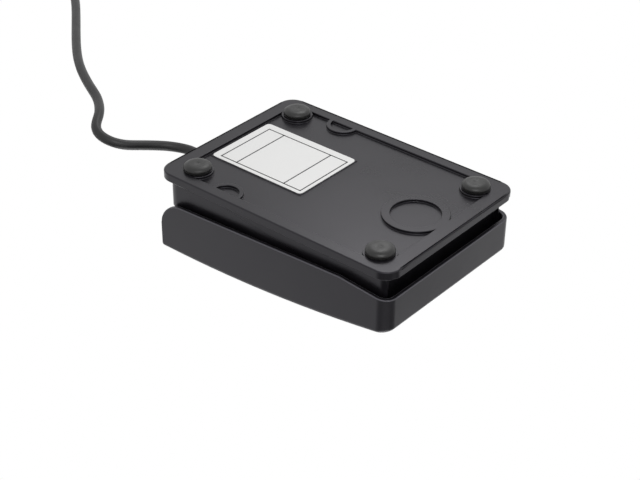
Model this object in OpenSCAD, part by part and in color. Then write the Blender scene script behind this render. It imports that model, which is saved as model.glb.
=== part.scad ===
// Foot pedal of a sewing or quilting machine: a single foot switch with a
// rocking tread on a flanged base, a snap action switch under it and a thin
// cord with a plug. Millimetres, +Z up, +Y towards the cord, origin on the
// floor under the middle of the object. The tread is drawn released.

/* [Base plate] */
// Length of the base plate, front to rear
plate_l = 100; // [92:1:112]
// Width of the base plate
plate_w = 70; // [64:1:80]
// Thickness of the base plate
plate_t = 3; // [2.4:0.1:4]
// Corner radius of the base plate in plan
plate_r = 5.6; // [4:0.2:9]
// Radius of the plate's lower outer edge
plate_edge_r = 0.5; // [0.4:0.1:1.2]
// Depth of the recess inside the underside border
recess_d = 1; // [0.6:0.1:1.4]
// Width of the underside border along the long sides
border_side = 4.3; // [3.4:0.1:5]
// Width of the underside border along the front and rear
border_end = 5.5; // [4:0.1:6.5]

/* [Tub walls] */
// Gap between the tub's side walls and the tread's skirts
wall_gap = 0.4; // [0.3:0.1:2]
// Distance from the plate's rear edge to the tub's rear wall
wall_inset_rear = 3.2; // [1.8:0.1:3.6]
// Distance from the plate's front edge to the ends of the side walls
wall_inset_wing = 3.5; // [3.2:0.1:4.4]
// Distance from the plate's front edge to the tub's front wall
wall_inset_front = 5.4; // [5:0.1:6]
// Thickness of the tub walls
wall_t = 2; // [1.6:0.1:2.4]
// Height of the tub walls above the plate
wall_h = 12; // [10:0.5:13]
// Radius of the tub's outer vertical corners
wall_r = 2.8; // [1:0.1:2.9]

/* [Underside features] */
// Outer radius of the round boss near the front
ring_ro = 11.4; // [10.5:0.1:12]
// Inner radius of the round boss near the front
ring_ri = 8.5; // [7:0.1:9]
// Distance from the front edge to the middle of the round boss
ring_from_front = 16.2; // [15.6:0.1:16.5]
// Outer radius of the two half round bosses on the long borders
half_ro = 6; // [5.2:0.1:6.4]
// Inner radius of the two half round bosses on the long borders
half_ri = 4.5; // [3.6:0.1:4.8]
// Distance from the rear edge to the middle of the half round bosses
half_from_rear = 28.1; // [26:0.1:32]

/* [Label] */
// Length of the label
label_l = 40.3; // [34:0.1:41]
// Width of the label
label_w = 29.8; // [24:0.1:32]
// Thickness of the label
label_t = 0.15; // [0.1:0.05:0.2]
// Height of the label's seat above the recess floor
seat_h = 0.4; // [0.3:0.05:0.5]
// Edge of the seat that stays bare round the label
seat_rim = 0.2; // [0.1:0.1:1]
// Distance from the rear edge of the plate to the label
label_from_rear = 6.9; // [6.4:0.1:8]

/* [Rubber feet] */
// Diameter of a foot's head
foot_d = 9.8; // [9:0.1:11]
// Height of a foot's head under the plate
foot_h = 2.4; // [2:0.1:3.2]
// Straight edge of a foot's head
foot_edge = 1; // [0.6:0.1:1.2]
// Diameter of the flat that a foot stands on
foot_flat_d = 5; // [4:0.1:6]
// Diameter of a foot's neck
foot_neck_d = 4.9; // [4:0.1:5]
// How far a foot's barb is wider than its neck, per side
foot_barb = 0.3; // [0.2:0.05:0.35]
// Height of a foot's barb
foot_barb_h = 2.6; // [2:0.1:3]
// Distance from the plate's long edges to the feet
foot_in_x = 9; // [8.6:0.1:10]
// Distance from the plate's front and rear edges to the feet
foot_in_y = 10.6; // [10.4:0.1:12]
// Extra radius of the boss round a foot's head
foot_boss_rim = 0.7; // [0.5:0.1:0.9]

/* [Tread] */
// How far the tread is narrower than the plate, per side
tread_in = 0.5; // [0.3:0.1:0.8]
// Distance from the plate's front edge to the tread's front face
tread_front_in = 0.7; // [0.4:0.1:1]
// Height of the pressed tread's crown above the plate's underside
crown_h = 28.2; // [27.4:0.2:32]
// Radius of the tread's crown from front to rear
crown_r = 540; // [440:10:700]
// How far the crown's highest line lies behind the middle
crown_off = 6; // [2:1:10]
// Thickness of the tread
tread_t = 2.4; // [2:0.1:3]
// Thickness of the skirts
skirt_t = 1.5; // [1.2:0.1:1.7]
// Radius of the tread's upper edge
tread_edge_r = 1.5; // [1:0.1:2]
// Radius of the tread's front corners in plan
tread_corner_r = 4.6; // [4.2:0.2:7]
// Height of the pressed skirts' rim above the plate's underside
rim_h = 7.8; // [7:0.1:8.6]
// Height of the pressed skirts' rim at the front
rim_front_h = 12; // [11:0.1:13]
// Radius of the skirts' rear lower corner
rim_rear_r = 10.4; // [8:0.1:11.5]

/* [Grip ribs] */
// Number of grip ribs across the tread
rib_n = 9; // [5:1:11]
// Distance between the grip ribs
rib_pitch = 6; // [5:0.25:6.5]
// Length of a grip rib
rib_l = 44; // [36:1:50]
// Width of a grip rib
rib_w = 1.6; // [1.2:0.1:2.2]
// Height of a grip rib
rib_h = 0.5; // [0.3:0.1:0.8]

/* [Hinge] */
// Angle that the tread turns through when it is pressed
travel = 4; // [3:0.25:4]
// Distance from the plate's front edge to the hinge pin
hinge_from_front = 28; // [27:0.5:30]
// Height of the hinge pin above the plate's underside
hinge_h = 13; // [12.5:0.25:14]
// Diameter of the hinge pin
pin_d = 3; // [2.5:0.1:3.4]
// Running clearance of the pin in the tread's ears, per side
pin_clear = 0.06; // [0.03:0.01:0.1]
// Thickness of a hinge ear
ear_t = 3; // [2.4:0.1:3.4]
// Length of the pin's bosses inside the tub's side walls
pin_boss_in = 3; // [1:0.1:3.4]
// Gap between a hinge ear and the boss beside it
ear_gap = 1.1; // [0.6:0.1:1.2]
// Wall round the pin in a hinge ear
ear_wall = 2.8; // [2.4:0.1:3]
// Wall round the pin in the base's bosses
pin_boss_wall = 2.5; // [2:0.1:2.8]

/* [Switch and board] */
// Length of the circuit board, front to rear
pcb_l = 33; // [32:0.5:34]
// Width of the circuit board
pcb_w = 46; // [44:0.5:46]
// Thickness of the circuit board
pcb_t = 1.6; // [1:0.1:2]
// Height of the posts under the board
pcb_post_h = 4; // [3.6:0.1:4.6]
// Distance from the hinge pin to the board's front edge
pcb_from_hinge = 6; // [5.5:0.5:7]
// Length of the snap action switch
switch_l = 19.8; // [18:0.1:20.5]
// Width of the snap action switch
switch_w = 6.4; // [5.8:0.1:7]
// Height of the snap action switch
switch_h = 10.2; // [9.4:0.1:10.6]
// Distance from the hinge pin to the switch
switch_from_hinge = 18; // [17:0.5:19]
// How far the plunger stands out of the switch
plunger_up = 1.7; // [1.5:0.05:2]
// Distance from the middle of the switch to its plunger
plunger_x = 3.2; // [2.6:0.1:3.6]
// Gap between the tread's post and the plunger
plunger_gap = 0.05; // [0.02:0.01:0.1]

/* [Return spring] */
// Wire diameter of the return spring
spring_wire = 1; // [0.8:0.1:1.2]
// Mean diameter of the return spring
spring_d = 8.6; // [8:0.1:9]
// Number of turns of the return spring
spring_turns = 7; // [5:1:8]
// Gap between an end turn of the return spring and the next
spring_gap = 0.5; // [0.45:0.05:0.6]
// Distance from the plate's rear edge to the return spring
spring_from_rear = 19; // [18:0.5:20]
// Height of the pilots inside the return spring
spring_pilot_h = 3.5; // [2.5:0.1:4]

/* [Stops] */
// Distance from the middle to the bumpers, across the pedal
bumper_x = 19; // [17:0.5:20]
// Distance from the plate's rear edge to the bumpers
bumper_from_rear = 21; // [20:0.5:22]
// Radius of a bumper
bumper_r = 3; // [2.4:0.1:3.4]
// Height of a bumper
bumper_h = 2.5; // [2:0.1:3]
// Gap at the stops when the tread is released
stop_gap = 0.35; // [0.3:0.05:0.5]

/* [Small parts] */
// Diameter of the small screws' shank
screw_d = 1.76; // [1.5:0.02:2]
// Diameter of the small screws' head
screw_head_d = 4; // [3.4:0.1:4.4]
// Height of the small screws' head
screw_head_h = 1.4; // [1.1:0.1:1.8]
// Diameter of the posts under the board
screw_post_d = 5; // [4.4:0.1:5.4]
// Length of the chip's body
chip_l = 9.9; // [9.4:0.1:10.4]
// Width of the chip's body
chip_w = 3.9; // [3.5:0.1:4.2]
// Pitch of the chip's legs
chip_pitch = 1.27; // [1.2:0.01:1.27]
// Diameter of the capacitor
capacitor_d = 5; // [4:0.1:5.4]
// Height of the capacitor
capacitor_h = 6.4; // [5:0.1:7]
// Length of the crystal's can
crystal_l = 10.8; // [9.6:0.1:11]
// Width of the crystal's can
crystal_w = 4.2; // [3.6:0.1:4.4]
// Height of the crystal's can
crystal_h = 3.4; // [2.6:0.1:3.6]

/* [Cord] */
// Diameter of the cord
cord_d = 3.6; // [3.2:0.1:3.8]
// Sideways place of the cord's outlet
cord_x = 7.6; // [6.6:0.1:8.4]
// Height of the cord's outlet above the plate's underside
cord_h = 8.8; // [8.4:0.1:9]
// Length of the strain relief outside the rear wall
relief_l = 10.7; // [8:0.1:11]
// Turns in each of the coil's four layers
coil_layer_turns = 3; // [2:1:4]
// Least gap between neighbouring turns of the coil
coil_gap = 0.5; // [0.45:0.05:0.8]
// Radius of the middle of the coil's turns
coil_mid_r = 20.4; // [18:0.1:22]

/* [Plug] */
// Length of the plug's moulded grip
grip_l = 20; // [18:1:26]
// Width of the plug's moulded grip
grip_w = 15.6; // [14:0.2:17]
// Thickness of the plug's moulded grip
grip_h = 8; // [7.4:0.2:9]
// Length of the plug's metal shell
shell_l = 12; // [11:0.5:13]

/* [Hidden] */
$fn = 64;
eps = 0.01;

// plate
front_y = -plate_l / 2;
rear_y = plate_l / 2;
side_x = plate_w / 2;
foot_x = side_x - foot_in_x;
foot_y = rear_y - foot_in_y;
foot_hole_r = foot_neck_d / 2 + 0.05;
// tub
wall_rear = rear_y - wall_inset_rear;
wall_wing = front_y + wall_inset_wing;
wall_front = front_y + wall_inset_front;
wall_top = plate_t + wall_h;
// hinge and tread
hinge_y = front_y + hinge_from_front;
tread_x = side_x - tread_in;
wall_x = tread_x - skirt_t - wall_gap;
tread_front = front_y + tread_front_in;
tread_rear = rear_y + 0.45;
ear_r = pin_d / 2 + ear_wall;
pin_boss_r = pin_d / 2 + pin_boss_wall;
boss_face = wall_x - wall_t - pin_boss_in;
ear_x1 = boss_face - ear_gap;
ear_x0 = ear_x1 - ear_t;
// board
pcb_y0 = hinge_y + pcb_from_hinge;
pcb_y1 = pcb_y0 + pcb_l;
pcb_z = plate_t + pcb_post_h;
pcb_top = pcb_z + pcb_t;
screw_x = pcb_w / 2 - 3.4;
screw_ys = [pcb_y0 + 3.4, pcb_y1 - 3.6];
pilot_d = screw_d + 0.04;
screw_hole_d = screw_d + 0.7;
// switch
switch_y = hinge_y + switch_from_hinge;
switch_z = pcb_top;
switch_top = switch_z + switch_h;

plunger_top = switch_top + plunger_up;
plunger_w = 3.2;
plunger_d = 2.2;
plunger_stroke = switch_from_hinge * travel * PI / 180;
plunger_in = 3;
post_z = plunger_top + plunger_gap;
// spring
spring_y = rear_y - spring_from_rear;
spring_z0 = plate_t + 1.5;
spring_z1 = 22;
spring_seat_r = spring_d / 2 + 1.4;
spring_pilot_r = (spring_d - spring_wire) / 2 - 0.5;
// stops
bumper_y = rear_y - bumper_from_rear;
bumper_post_r = bumper_r + 0.6;
bumper_post_top = plate_t + 8;
bumper_stem_r = 1.25;
bumper_stem_h = 2.2;
// clamp
clamp_y = wall_rear - wall_t - 5.8;
clamp_dx = cord_d / 2 + 3.6;
clamp_w = 5;
cable_r = cord_d / 2;
relief_end = wall_rear + relief_l;
relief_neck_r = 3;
// header and plug on the board
header_y0 = pcb_y1 - 8.4;
header_x = cord_x + 0.4;
header_w = 10;
header_l = 6;
header_h = 6;
tail_end = clamp_y - 6.5;
// label
label_y = rear_y - label_from_rear - label_l / 2;
label_x = 0.25;
label_r = 1.5;

function crown_z(y) = crown_h - crown_r + sqrt(crown_r * crown_r - (y - crown_off) * (y - crown_off));
// height of the released tread over a place on the base
function rest_z(y) = hinge_h + (crown_z(y) - hinge_h) * cos(travel) + (y - hinge_y) * sin(travel);

module on_feet() translate([0, 0, foot_h]) children();
module released() translate([0, hinge_y, hinge_h]) rotate([travel, 0, 0])
    translate([0, -hinge_y, -hinge_h]) children();
module mirrored_x() { children(); mirror([1, 0, 0]) children(); }
module at_feet() for (sx = [-1, 1], sy = [-1, 1]) translate([sx * foot_x, sy * foot_y, 0]) children();
module at_pcb_screws() for (sx = [-1, 1], y = screw_ys) translate([sx * screw_x, y, 0]) children();
module at_clamp_screws() for (s = [-1, 1]) translate([cord_x + s * clamp_dx, clamp_y, 0]) children();
module at_bumpers() for (s = [-1, 1]) translate([s * bumper_x, bumper_y, 0]) children();
module along_x(l) rotate([90, 0, 90]) linear_extrude(height = l, center = true) children();
// an outline in X and Z carried along Y
module along_y(l) rotate([90, 0, 0]) linear_extrude(height = l, center = true) children();

// rectangle with rounded corners between two opposite corners
module rounded(x0, y0, x1, y1, r) {
    translate([x0 + r, y0]) square([x1 - x0 - 2 * r, y1 - y0]);
    translate([x0, y0 + r]) square([x1 - x0, y1 - y0 - 2 * r]);
    for (x = [x0 + r, x1 - r], y = [y0 + r, y1 - r]) translate([x, y]) circle(r = r);
}

// plate with rounded corners whose lower outer edge is rounded too
module soft_plate(l, w, t, r, e) {
    translate([0, 0, e]) linear_extrude(height = t - e) rounded(-w / 2, -l / 2, w / 2, l / 2, r);
    linear_extrude(height = e) rounded(-w / 2 + e, -l / 2 + e, w / 2 - e, l / 2 - e, r - e);
    for (s = [-1, 1]) {
        translate([s * (w / 2 - e), 0, e]) rotate([90, 0, 0]) cylinder(r = e, h = l - 2 * r, center = true);
        translate([0, s * (l / 2 - e), e]) rotate([0, 90, 0]) cylinder(r = e, h = w - 2 * r, center = true);
        for (u = [-1, 1]) translate([s * (w / 2 - r), u * (l / 2 - r), e])
            rotate_extrude() translate([r - e, 0]) circle(r = e);
    }
}

// ---------------------------------------------------------------- base
module recess_outline() {
    difference() {
        rounded(-side_x + border_side, front_y + border_end, side_x - border_side, rear_y - border_end, 1.2);
        at_feet() circle(r = foot_d / 2 + foot_boss_rim);
        // no pocket is left between a foot's boss and the corner
        for (sx = [0, 1], sy = [0, 1]) mirror([sx, 0]) mirror([0, sy])
            translate([foot_x, foot_y]) square(foot_d);
        translate([0, front_y + ring_from_front]) difference() { circle(r = ring_ro); circle(r = ring_ri); }
        for (s = [-1, 1]) translate([s * (side_x - border_side + 0.2), rear_y - half_from_rear])
            difference() { circle(r = half_ro); circle(r = half_ri); }
    }
}

module label_seat_outline() translate([label_x, label_y])
    square([label_w + 2 * seat_rim, label_l + 2 * seat_rim], center = true);

module tub_outline() rounded(-wall_x, wall_wing, wall_x, wall_rear, wall_r);

module tub_walls() {
    inner_x = wall_x - wall_t;
    difference() {
        translate([0, 0, plate_t - eps]) linear_extrude(height = wall_h + eps) tub_outline();
        translate([-inner_x, wall_front + wall_t, plate_t - 1])
            cube([2 * inner_x, wall_rear - wall_front - 2 * wall_t, wall_h + 2]);
        translate([-inner_x, wall_wing - 1, plate_t])
            cube([2 * inner_x, wall_front - wall_wing + 1, wall_h + 1]);
    }
    // bosses that hold the hinge pin
    mirrored_x() translate([(boss_face + wall_x) / 2, hinge_y, 0]) along_x(wall_x - boss_face) {
        translate([0, hinge_h]) circle(r = pin_boss_r);
        translate([-pin_boss_r, plate_t - eps]) square([2 * pin_boss_r, hinge_h - plate_t]);
    }
}

module base_posts() {
    at_pcb_screws() translate([0, 0, plate_t - eps]) cylinder(d = screw_post_d, h = pcb_post_h + eps);
    // spring seat with its pilot
    translate([0, spring_y, plate_t - eps]) cylinder(r = spring_seat_r, h = spring_z0 - plate_t + eps);
    translate([0, spring_y, plate_t]) cylinder(r = spring_pilot_r, h = spring_z0 - plate_t + spring_pilot_h);
    // posts under the two bumpers
    at_bumpers() translate([0, 0, plate_t - eps])
        cylinder(r = bumper_post_r, h = bumper_post_top - plate_t + eps);
    // saddle and screw posts of the cable clamp
    saddle_h = cord_h - plate_t + eps;
    at_clamp_screws() translate([0, 0, plate_t - eps]) cylinder(d = clamp_w - 0.2, h = saddle_h);
    translate([cord_x - clamp_dx, clamp_y - clamp_w / 2, plate_t - eps])
        cube([2 * clamp_dx, clamp_w, saddle_h]);
    // stiffening ribs of the floor, from the hinge to the rear feet
    mirrored_x() translate([foot_x - 2.1, hinge_y + 6.4, plate_t - eps])
        cube([1.4, foot_y - hinge_y - 12, 1.6]);
}

module base_housing() color([0.13, 0.13, 0.14]) on_feet() difference() {
    union() {
        difference() {
            soft_plate(plate_l, plate_w, plate_t, plate_r, plate_edge_r);
            translate([0, 0, -eps]) linear_extrude(height = recess_d + eps) recess_outline();
        }
        translate([0, 0, recess_d - seat_h]) linear_extrude(height = seat_h + eps) label_seat_outline();
        tub_walls();
        base_posts();
    }
    at_feet() translate([0, 0, -1]) cylinder(r = foot_hole_r, h = plate_t + 2);
    translate([0, hinge_y, hinge_h]) along_x(plate_w) circle(d = pin_d + 0.02);
    at_pcb_screws() translate([0, 0, plate_t + 0.6]) cylinder(d = pilot_d, h = pcb_post_h + 1);
    at_clamp_screws() translate([0, 0, plate_t + 0.6]) cylinder(d = pilot_d, h = cord_h);
    translate([cord_x, clamp_y, cord_h]) along_y(clamp_w + 2) circle(r = cable_r + 0.05);
    translate([cord_x, wall_rear - wall_t / 2, cord_h]) along_y(wall_t + 2) circle(r = relief_neck_r + 0.05);
    // sockets under the bumpers' stems
    at_bumpers() translate([0, 0, bumper_post_top - bumper_stem_h - 0.3])
        cylinder(r = bumper_stem_r + 0.05, h = 3);
}

// ---------------------------------------------------------------- tread
// right hand half of the tread's outline from the rear to the front, drawn in by d
function outline(x, y0, y1, rr, rf, d) = let(rc = max(rr - d, 0.3)) concat(
    [for (a = [90 : -30 : 0]) [x - d - rc + rc * cos(a), y1 - d - rc + rc * sin(a)]],
    [for (i = [1 : 11]) [x - d, y1 - rr + (y0 + rf - y1 + rr) * i / 12]],
    [for (a = [0 : -11.25 : -90]) [x - rf + (rf - d) * cos(a), y0 + rf + (rf - d) * sin(a)]]);
function loop_of(h) = concat(h, [for (i = [len(h) - 1 : -1 : 0]) [-h[i][0], h[i][1]]]);

// the front and rear faces stand upright on the released tread
function leaned(p) = [p[0], p[1] + (p[2] - hinge_h) * tan(travel), p[2]];

// solid under the crown, with its upper edge rounded
module crowned(x, y0, y1, rr, rf, drop, e, z0) {
    steps = 4;
    half = [for (k = [0 : steps]) outline(x, y0, y1, rr, rf, e * (1 - cos(90 * k / steps)))];
    n = 2 * len(half[0]);
    low = [for (p = loop_of(half[0])) [p[0], p[1], z0]];
    rings = [for (k = [0 : steps]) [for (p = loop_of(half[k]))
        [p[0], p[1], crown_z(p[1]) - drop - e + e * sin(90 * k / steps)]]];
    pts = [for (p = concat(low, [for (r = rings) for (p = r) p])) leaned(p)];
    top = (steps + 1) * n;
    sides = [for (k = [0 : steps], i = [0 : n - 1]) each [
        [k * n + i, (k + 1) * n + (i + 1) % n, (k + 1) * n + i],
        [k * n + i, k * n + (i + 1) % n, (k + 1) * n + (i + 1) % n]]];
    lid = [for (i = [0 : n / 2 - 2]) each [
        [top + i, top + n - 2 - i, top + n - 1 - i], [top + i, top + i + 1, top + n - 2 - i]]];
    under = [[for (i = [n - 1 : -1 : 0]) i]];
    polyhedron(points = pts, faces = concat(sides, lid, under), convexity = 4);
}

// side view of what is cut away below the skirts' rim
module below_rim() {
    kink = hinge_y + 6;
    bend_y = tread_rear - rim_rear_r;
    difference() {
        polygon([[front_y - 10, -10], [front_y - 10, rim_front_h + 0.6], [tread_front, rim_front_h],
            [hinge_y - 8, rim_h + 0.33 * (rim_front_h - rim_h)], [kink, rim_h], [bend_y, rim_h],
            [bend_y, rim_h + rim_rear_r], [rear_y + 10, rim_h + rim_rear_r], [rear_y + 10, -10]]);
        translate([bend_y, rim_h + rim_rear_r]) circle(r = rim_rear_r, $fn = 96);
    }
}

module ear() along_x(ear_t) {
    translate([hinge_y, hinge_h]) circle(r = ear_r);
    translate([hinge_y - ear_r, hinge_h]) square([2 * ear_r, crown_z(hinge_y) - tread_t / 2 - hinge_h]);
}

// side view of a stiffening rib whose upper edge follows the crown
module underside_rib() {
    y0 = tread_front + skirt_t - 0.3;
    y1 = tread_rear - skirt_t + 0.3;
    n = 16;
    ys = [for (i = [0 : n]) y0 + (y1 - y0) * i / n];
    polygon(concat([for (y = ys) [y, crown_z(y) - tread_t + 0.3]],
        [for (i = [n : -1 : 0]) [ys[i], crown_z(ys[i]) - tread_t - 2]]));
}

module grip_rib(y) translate([0, y, crown_z(y) - 0.3]) rotate([-asin((y - crown_off) / crown_r), 0, 0])
    linear_extrude(height = 0.3 + rib_h) {
        square([rib_l - rib_w, rib_w], center = true);
        for (s = [-1, 1]) translate([s * (rib_l - rib_w) / 2, 0]) circle(d = rib_w, $fn = 24);
    }

// post that hangs from the released tread down to a height
module finger(x, y, z, r) translate([x, y, z]) cylinder(r = r, h = rest_z(y) - tread_t / 2 - z);

// what hangs from the tread's underside, shaped to meet the base as released
module tread_fingers() {
    // post over the switch, with its web
    finger(plunger_x, switch_y, post_z, 2.5);
    translate([plunger_x - 0.7, switch_y - 6, post_z + 3])
        cube([1.4, 12, rest_z(switch_y - 6) - tread_t / 2 - post_z - 3]);
    // spring seat with its pilot
    finger(0, spring_y, spring_z1, spring_seat_r);
    translate([0, spring_y, spring_z1 - spring_pilot_h + 0.5]) cylinder(r = spring_pilot_r - 0.3, h = 4);
    // ribs that rest on the tub's front wall
    for (s = [-1, 1]) translate([s * 15 - 1, wall_front + 0.2, wall_top + stop_gap])
        cube([2, 5, rest_z(wall_front) - tread_t / 2 - wall_top - stop_gap]);
}

module pedal_cover() color([0.15, 0.15, 0.16]) on_feet() {
    released() {
        difference() {
            crowned(tread_x, tread_front, tread_rear, 1, tread_corner_r, 0, tread_edge_r, 2);
            crowned(tread_x - skirt_t, tread_front + skirt_t, tread_rear - skirt_t, 0.6,
                tread_corner_r - skirt_t, tread_t, 0.6, 0);
            along_x(plate_w + 10) below_rim();
        }
        mirrored_x() difference() {
            translate([(ear_x0 + ear_x1) / 2, 0, 0]) ear();
            translate([(ear_x0 + ear_x1) / 2, hinge_y, hinge_h]) along_x(ear_t + 2)
                circle(r = pin_d / 2 + pin_clear);
        }
        // posts that come down on the bumpers
        at_bumpers() translate([0, 0, bumper_post_top + bumper_h + stop_gap])
            cylinder(r = 2.4, h = crown_z(bumper_y) - tread_t / 2 - bumper_post_top - bumper_h - stop_gap);
        // stiffening ribs along the underside, from skirt to skirt under the crown
        mirrored_x() translate([12, 0, 0]) along_x(1.6) underside_rib();
        for (i = [0 : rib_n - 1]) grip_rib(crown_off + (i - (rib_n - 1) / 2) * rib_pitch + 6);
    }
    tread_fingers();
}

// ---------------------------------------------------------------- hinge pin and spring
module hinge_pin() color([0.72, 0.73, 0.75]) on_feet() translate([0, hinge_y, hinge_h]) rotate([0, 90, 0])
    cylinder(d = pin_d, h = 2 * wall_x, center = true);

// round tube along a list of points, with a ring of n corners at each
function unit(v) = v / norm(v);
function heading(p, i) = unit(i == 0 ? p[1] - p[0] : i == len(p) - 1 ? p[i] - p[i - 1]
    : unit(p[i + 1] - p[i]) + unit(p[i] - p[i - 1]));
module tube(p, r, n) {
    rings = [for (i = [0 : len(p) - 1]) let(t = heading(p, i), s = unit(cross(t, [0, 0, 1])), u = cross(s, t))
        [for (k = [0 : n - 1]) p[i] + r * (cos(360 * (k + 0.5) / n) * s + sin(360 * (k + 0.5) / n) * u)]];
    m = len(p);
    polyhedron(points = [for (q = rings) for (v = q) v], convexity = 10, faces = concat(
        [[for (k = [0 : n - 1]) k]], [[for (k = [n - 1 : -1 : 0]) (m - 1) * n + k]],
        [for (i = [0 : m - 2], k = [0 : n - 1]) each [
            [i * n + k, (i + 1) * n + k, (i + 1) * n + (k + 1) % n],
            [i * n + k, (i + 1) * n + (k + 1) % n, i * n + (k + 1) % n]]]));
}

// least gap of a tube of diameter d to itself, between points at least skip apart along it
function least_gap(p, d, skip) = min([for (i = [0 : len(p) - 1 - skip], j = [i + skip : len(p) - 1])
    norm(p[i] - p[j])]) - d;

// the two end turns lie almost flat, the turns between them climb evenly
spring_lo = spring_z0 + spring_wire / 2 + 0.05;
spring_hi = spring_z1 - spring_wire / 2 - 0.05;
spring_end = spring_wire + spring_gap;
function spring_z(t) = t < 1 ? spring_lo + spring_end * t
    : t > spring_turns - 1 ? spring_hi - spring_end * (spring_turns - t)
    : spring_lo + spring_end + (spring_hi - spring_lo - 2 * spring_end) * (t - 1) / (spring_turns - 2);
spring_path = [for (i = [0 : spring_turns * 10])
    [spring_d / 2 * cos(36 * i), spring_d / 2 * sin(36 * i), spring_z(i / 10)]];
module return_spring() {
    echo("least gap of the spring to itself", least_gap(spring_path, spring_wire, 5));
    color([0.70, 0.71, 0.73]) on_feet() translate([0, spring_y, 0]) tube(spring_path, spring_wire / 2, 6);
}

// ---------------------------------------------------------------- feet and label
module rubber_foot() color([0.10, 0.10, 0.10]) difference() {
    union() {
        // domed head with a flat to stand on
        sag = foot_h - foot_edge;
        flat_r = foot_flat_d / 2;
        dome_r = ((foot_d / 2) * (foot_d / 2) - flat_r * flat_r + sag * sag) / (2 * sag);
        big_r = sqrt(dome_r * dome_r + flat_r * flat_r);
        intersection() {
            cylinder(d = foot_d, h = foot_h);
            translate([0, 0, dome_r]) sphere(r = big_r, $fn = 96);
        }
        translate([0, 0, foot_h - eps]) cylinder(d = foot_neck_d, h = plate_t + 0.1 + eps);
        translate([0, 0, foot_h + plate_t + 0.1])
            cylinder(r1 = foot_neck_d / 2 + foot_barb, r2 = foot_neck_d / 2 - 0.7, h = foot_barb_h);
    }
    translate([0, 0, -0.4]) sphere(r = 0.8, $fn = 32);
}
module rubber_foot_front_left() translate([-foot_x, -foot_y, 0]) rubber_foot();
module rubber_foot_front_right() translate([foot_x, -foot_y, 0]) rubber_foot();
module rubber_foot_rear_left() translate([-foot_x, foot_y, 0]) rubber_foot();
module rubber_foot_rear_right() translate([foot_x, foot_y, 0]) rubber_foot();

module label() color([0.93, 0.93, 0.93]) on_feet() translate([label_x, label_y, recess_d - seat_h - label_t])
    linear_extrude(height = label_t) rounded(-label_w / 2, -label_l / 2, label_w / 2, label_l / 2, label_r);

module stop_bumpers() color([0.10, 0.10, 0.10]) on_feet() at_bumpers() translate([0, 0, bumper_post_top]) {
    cylinder(r = bumper_r, h = bumper_h);
    translate([0, 0, -bumper_stem_h]) cylinder(r = bumper_stem_r, h = bumper_stem_h + eps);
}

// ---------------------------------------------------------------- board
terminal_xs = [-(switch_l / 2 - 1.8), 0, switch_l / 2 - 1.8];
terminal_hole_d = 1.7;
module pcb() color([0.05, 0.28, 0.14]) on_feet() difference() {
    translate([-pcb_w / 2, pcb_y0, pcb_z]) cube([pcb_w, pcb_l, pcb_t]);
    at_pcb_screws() translate([0, 0, pcb_z - 1]) cylinder(d = screw_hole_d, h = pcb_t + 2);
    for (x = terminal_xs) translate([x, switch_y, pcb_z - 1]) cylinder(d = terminal_hole_d, h = pcb_t + 2);
}

// cross slotted pan head screw whose head sits at height 0
module pan_screw(l) {
    difference() {
        intersection() {
            cylinder(d = screw_head_d, h = screw_head_h);
            translate([0, 0, screw_head_h - screw_head_d]) sphere(r = screw_head_d, $fn = 48);
        }
        translate([0, 0, screw_head_h - 0.2]) for (a = [0, 90]) rotate([0, 0, a])
            cube([screw_head_d * 0.6, 0.5, 1.2], center = true);
    }
    translate([0, 0, -l]) cylinder(d = screw_d, h = l + eps);
}
module pcb_screws() color([0.70, 0.71, 0.73]) on_feet() at_pcb_screws()
    translate([0, 0, pcb_top]) pan_screw(pcb_t + pcb_post_h - 1.2);

// chip with its legs in two rows
chip_at = [-pcb_w / 2 + 11.5, pcb_y1 - 8.5, pcb_top];
leg_w = 0.4;
leg_t = 0.2;
leg_up = 0.35;
module controller_chip() color([0.08, 0.08, 0.08]) on_feet() translate(chip_at) {
    translate([-chip_l / 2, -chip_w / 2, 0.15]) cube([chip_l, chip_w, 1.5]);
    for (i = [0 : 7], s = [-1, 1]) translate([(i - 3.5) * chip_pitch, s * (chip_w / 2 + leg_w), 0]) {
        translate([-leg_w / 2, -leg_w, leg_up]) cube([leg_w, 2 * leg_w, leg_t]);
        translate([-leg_w / 2, s * 0.5 - 0.3, 0]) cube([leg_w, 0.6, leg_up + leg_t]);
    }
}

module crystal() color([0.75, 0.76, 0.78]) on_feet()
    translate([-pcb_w / 2 + 11, switch_y - switch_w / 2 - crystal_w, pcb_top])
        linear_extrude(height = crystal_h) hull()
            for (s = [-1, 1]) translate([s * (crystal_l - crystal_w) / 2, 0]) circle(d = crystal_w);

module capacitor() color([0.12, 0.14, 0.30]) on_feet() translate([pcb_w / 2 - 7.5, switch_y + 7.5, pcb_top])
    difference() {
        cylinder(d = capacitor_d, h = capacitor_h);
        for (a = [0, 90]) rotate([0, 0, a]) translate([-1.8, -0.15, capacitor_h - 0.2]) cube([3.6, 0.3, 1]);
    }

module switch_body() color([0.09, 0.09, 0.10]) on_feet() difference() {
    cap_h = 0.8;
    union() {
        translate([-switch_l / 2, switch_y - switch_w / 2, switch_z])
            cube([switch_l, switch_w, switch_h - cap_h]);
        translate([-switch_l / 2 + 0.6, switch_y - switch_w / 2 + 0.4, switch_top - cap_h - eps])
            cube([switch_l - 1.2, switch_w - 0.8, cap_h + eps]);
    }
    // two holes through the body
    for (s = [-1, 1]) translate([s * 4.75, switch_y, switch_z + 2.9]) along_y(switch_w + 2) circle(d = 2.4);
    // well of the plunger
    translate([plunger_x, switch_y, switch_top - plunger_in - plunger_stroke - 0.3])
        linear_extrude(height = plunger_in + plunger_stroke + 2)
            square([plunger_w + 0.24, plunger_d + 0.24], center = true);
}

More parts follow.
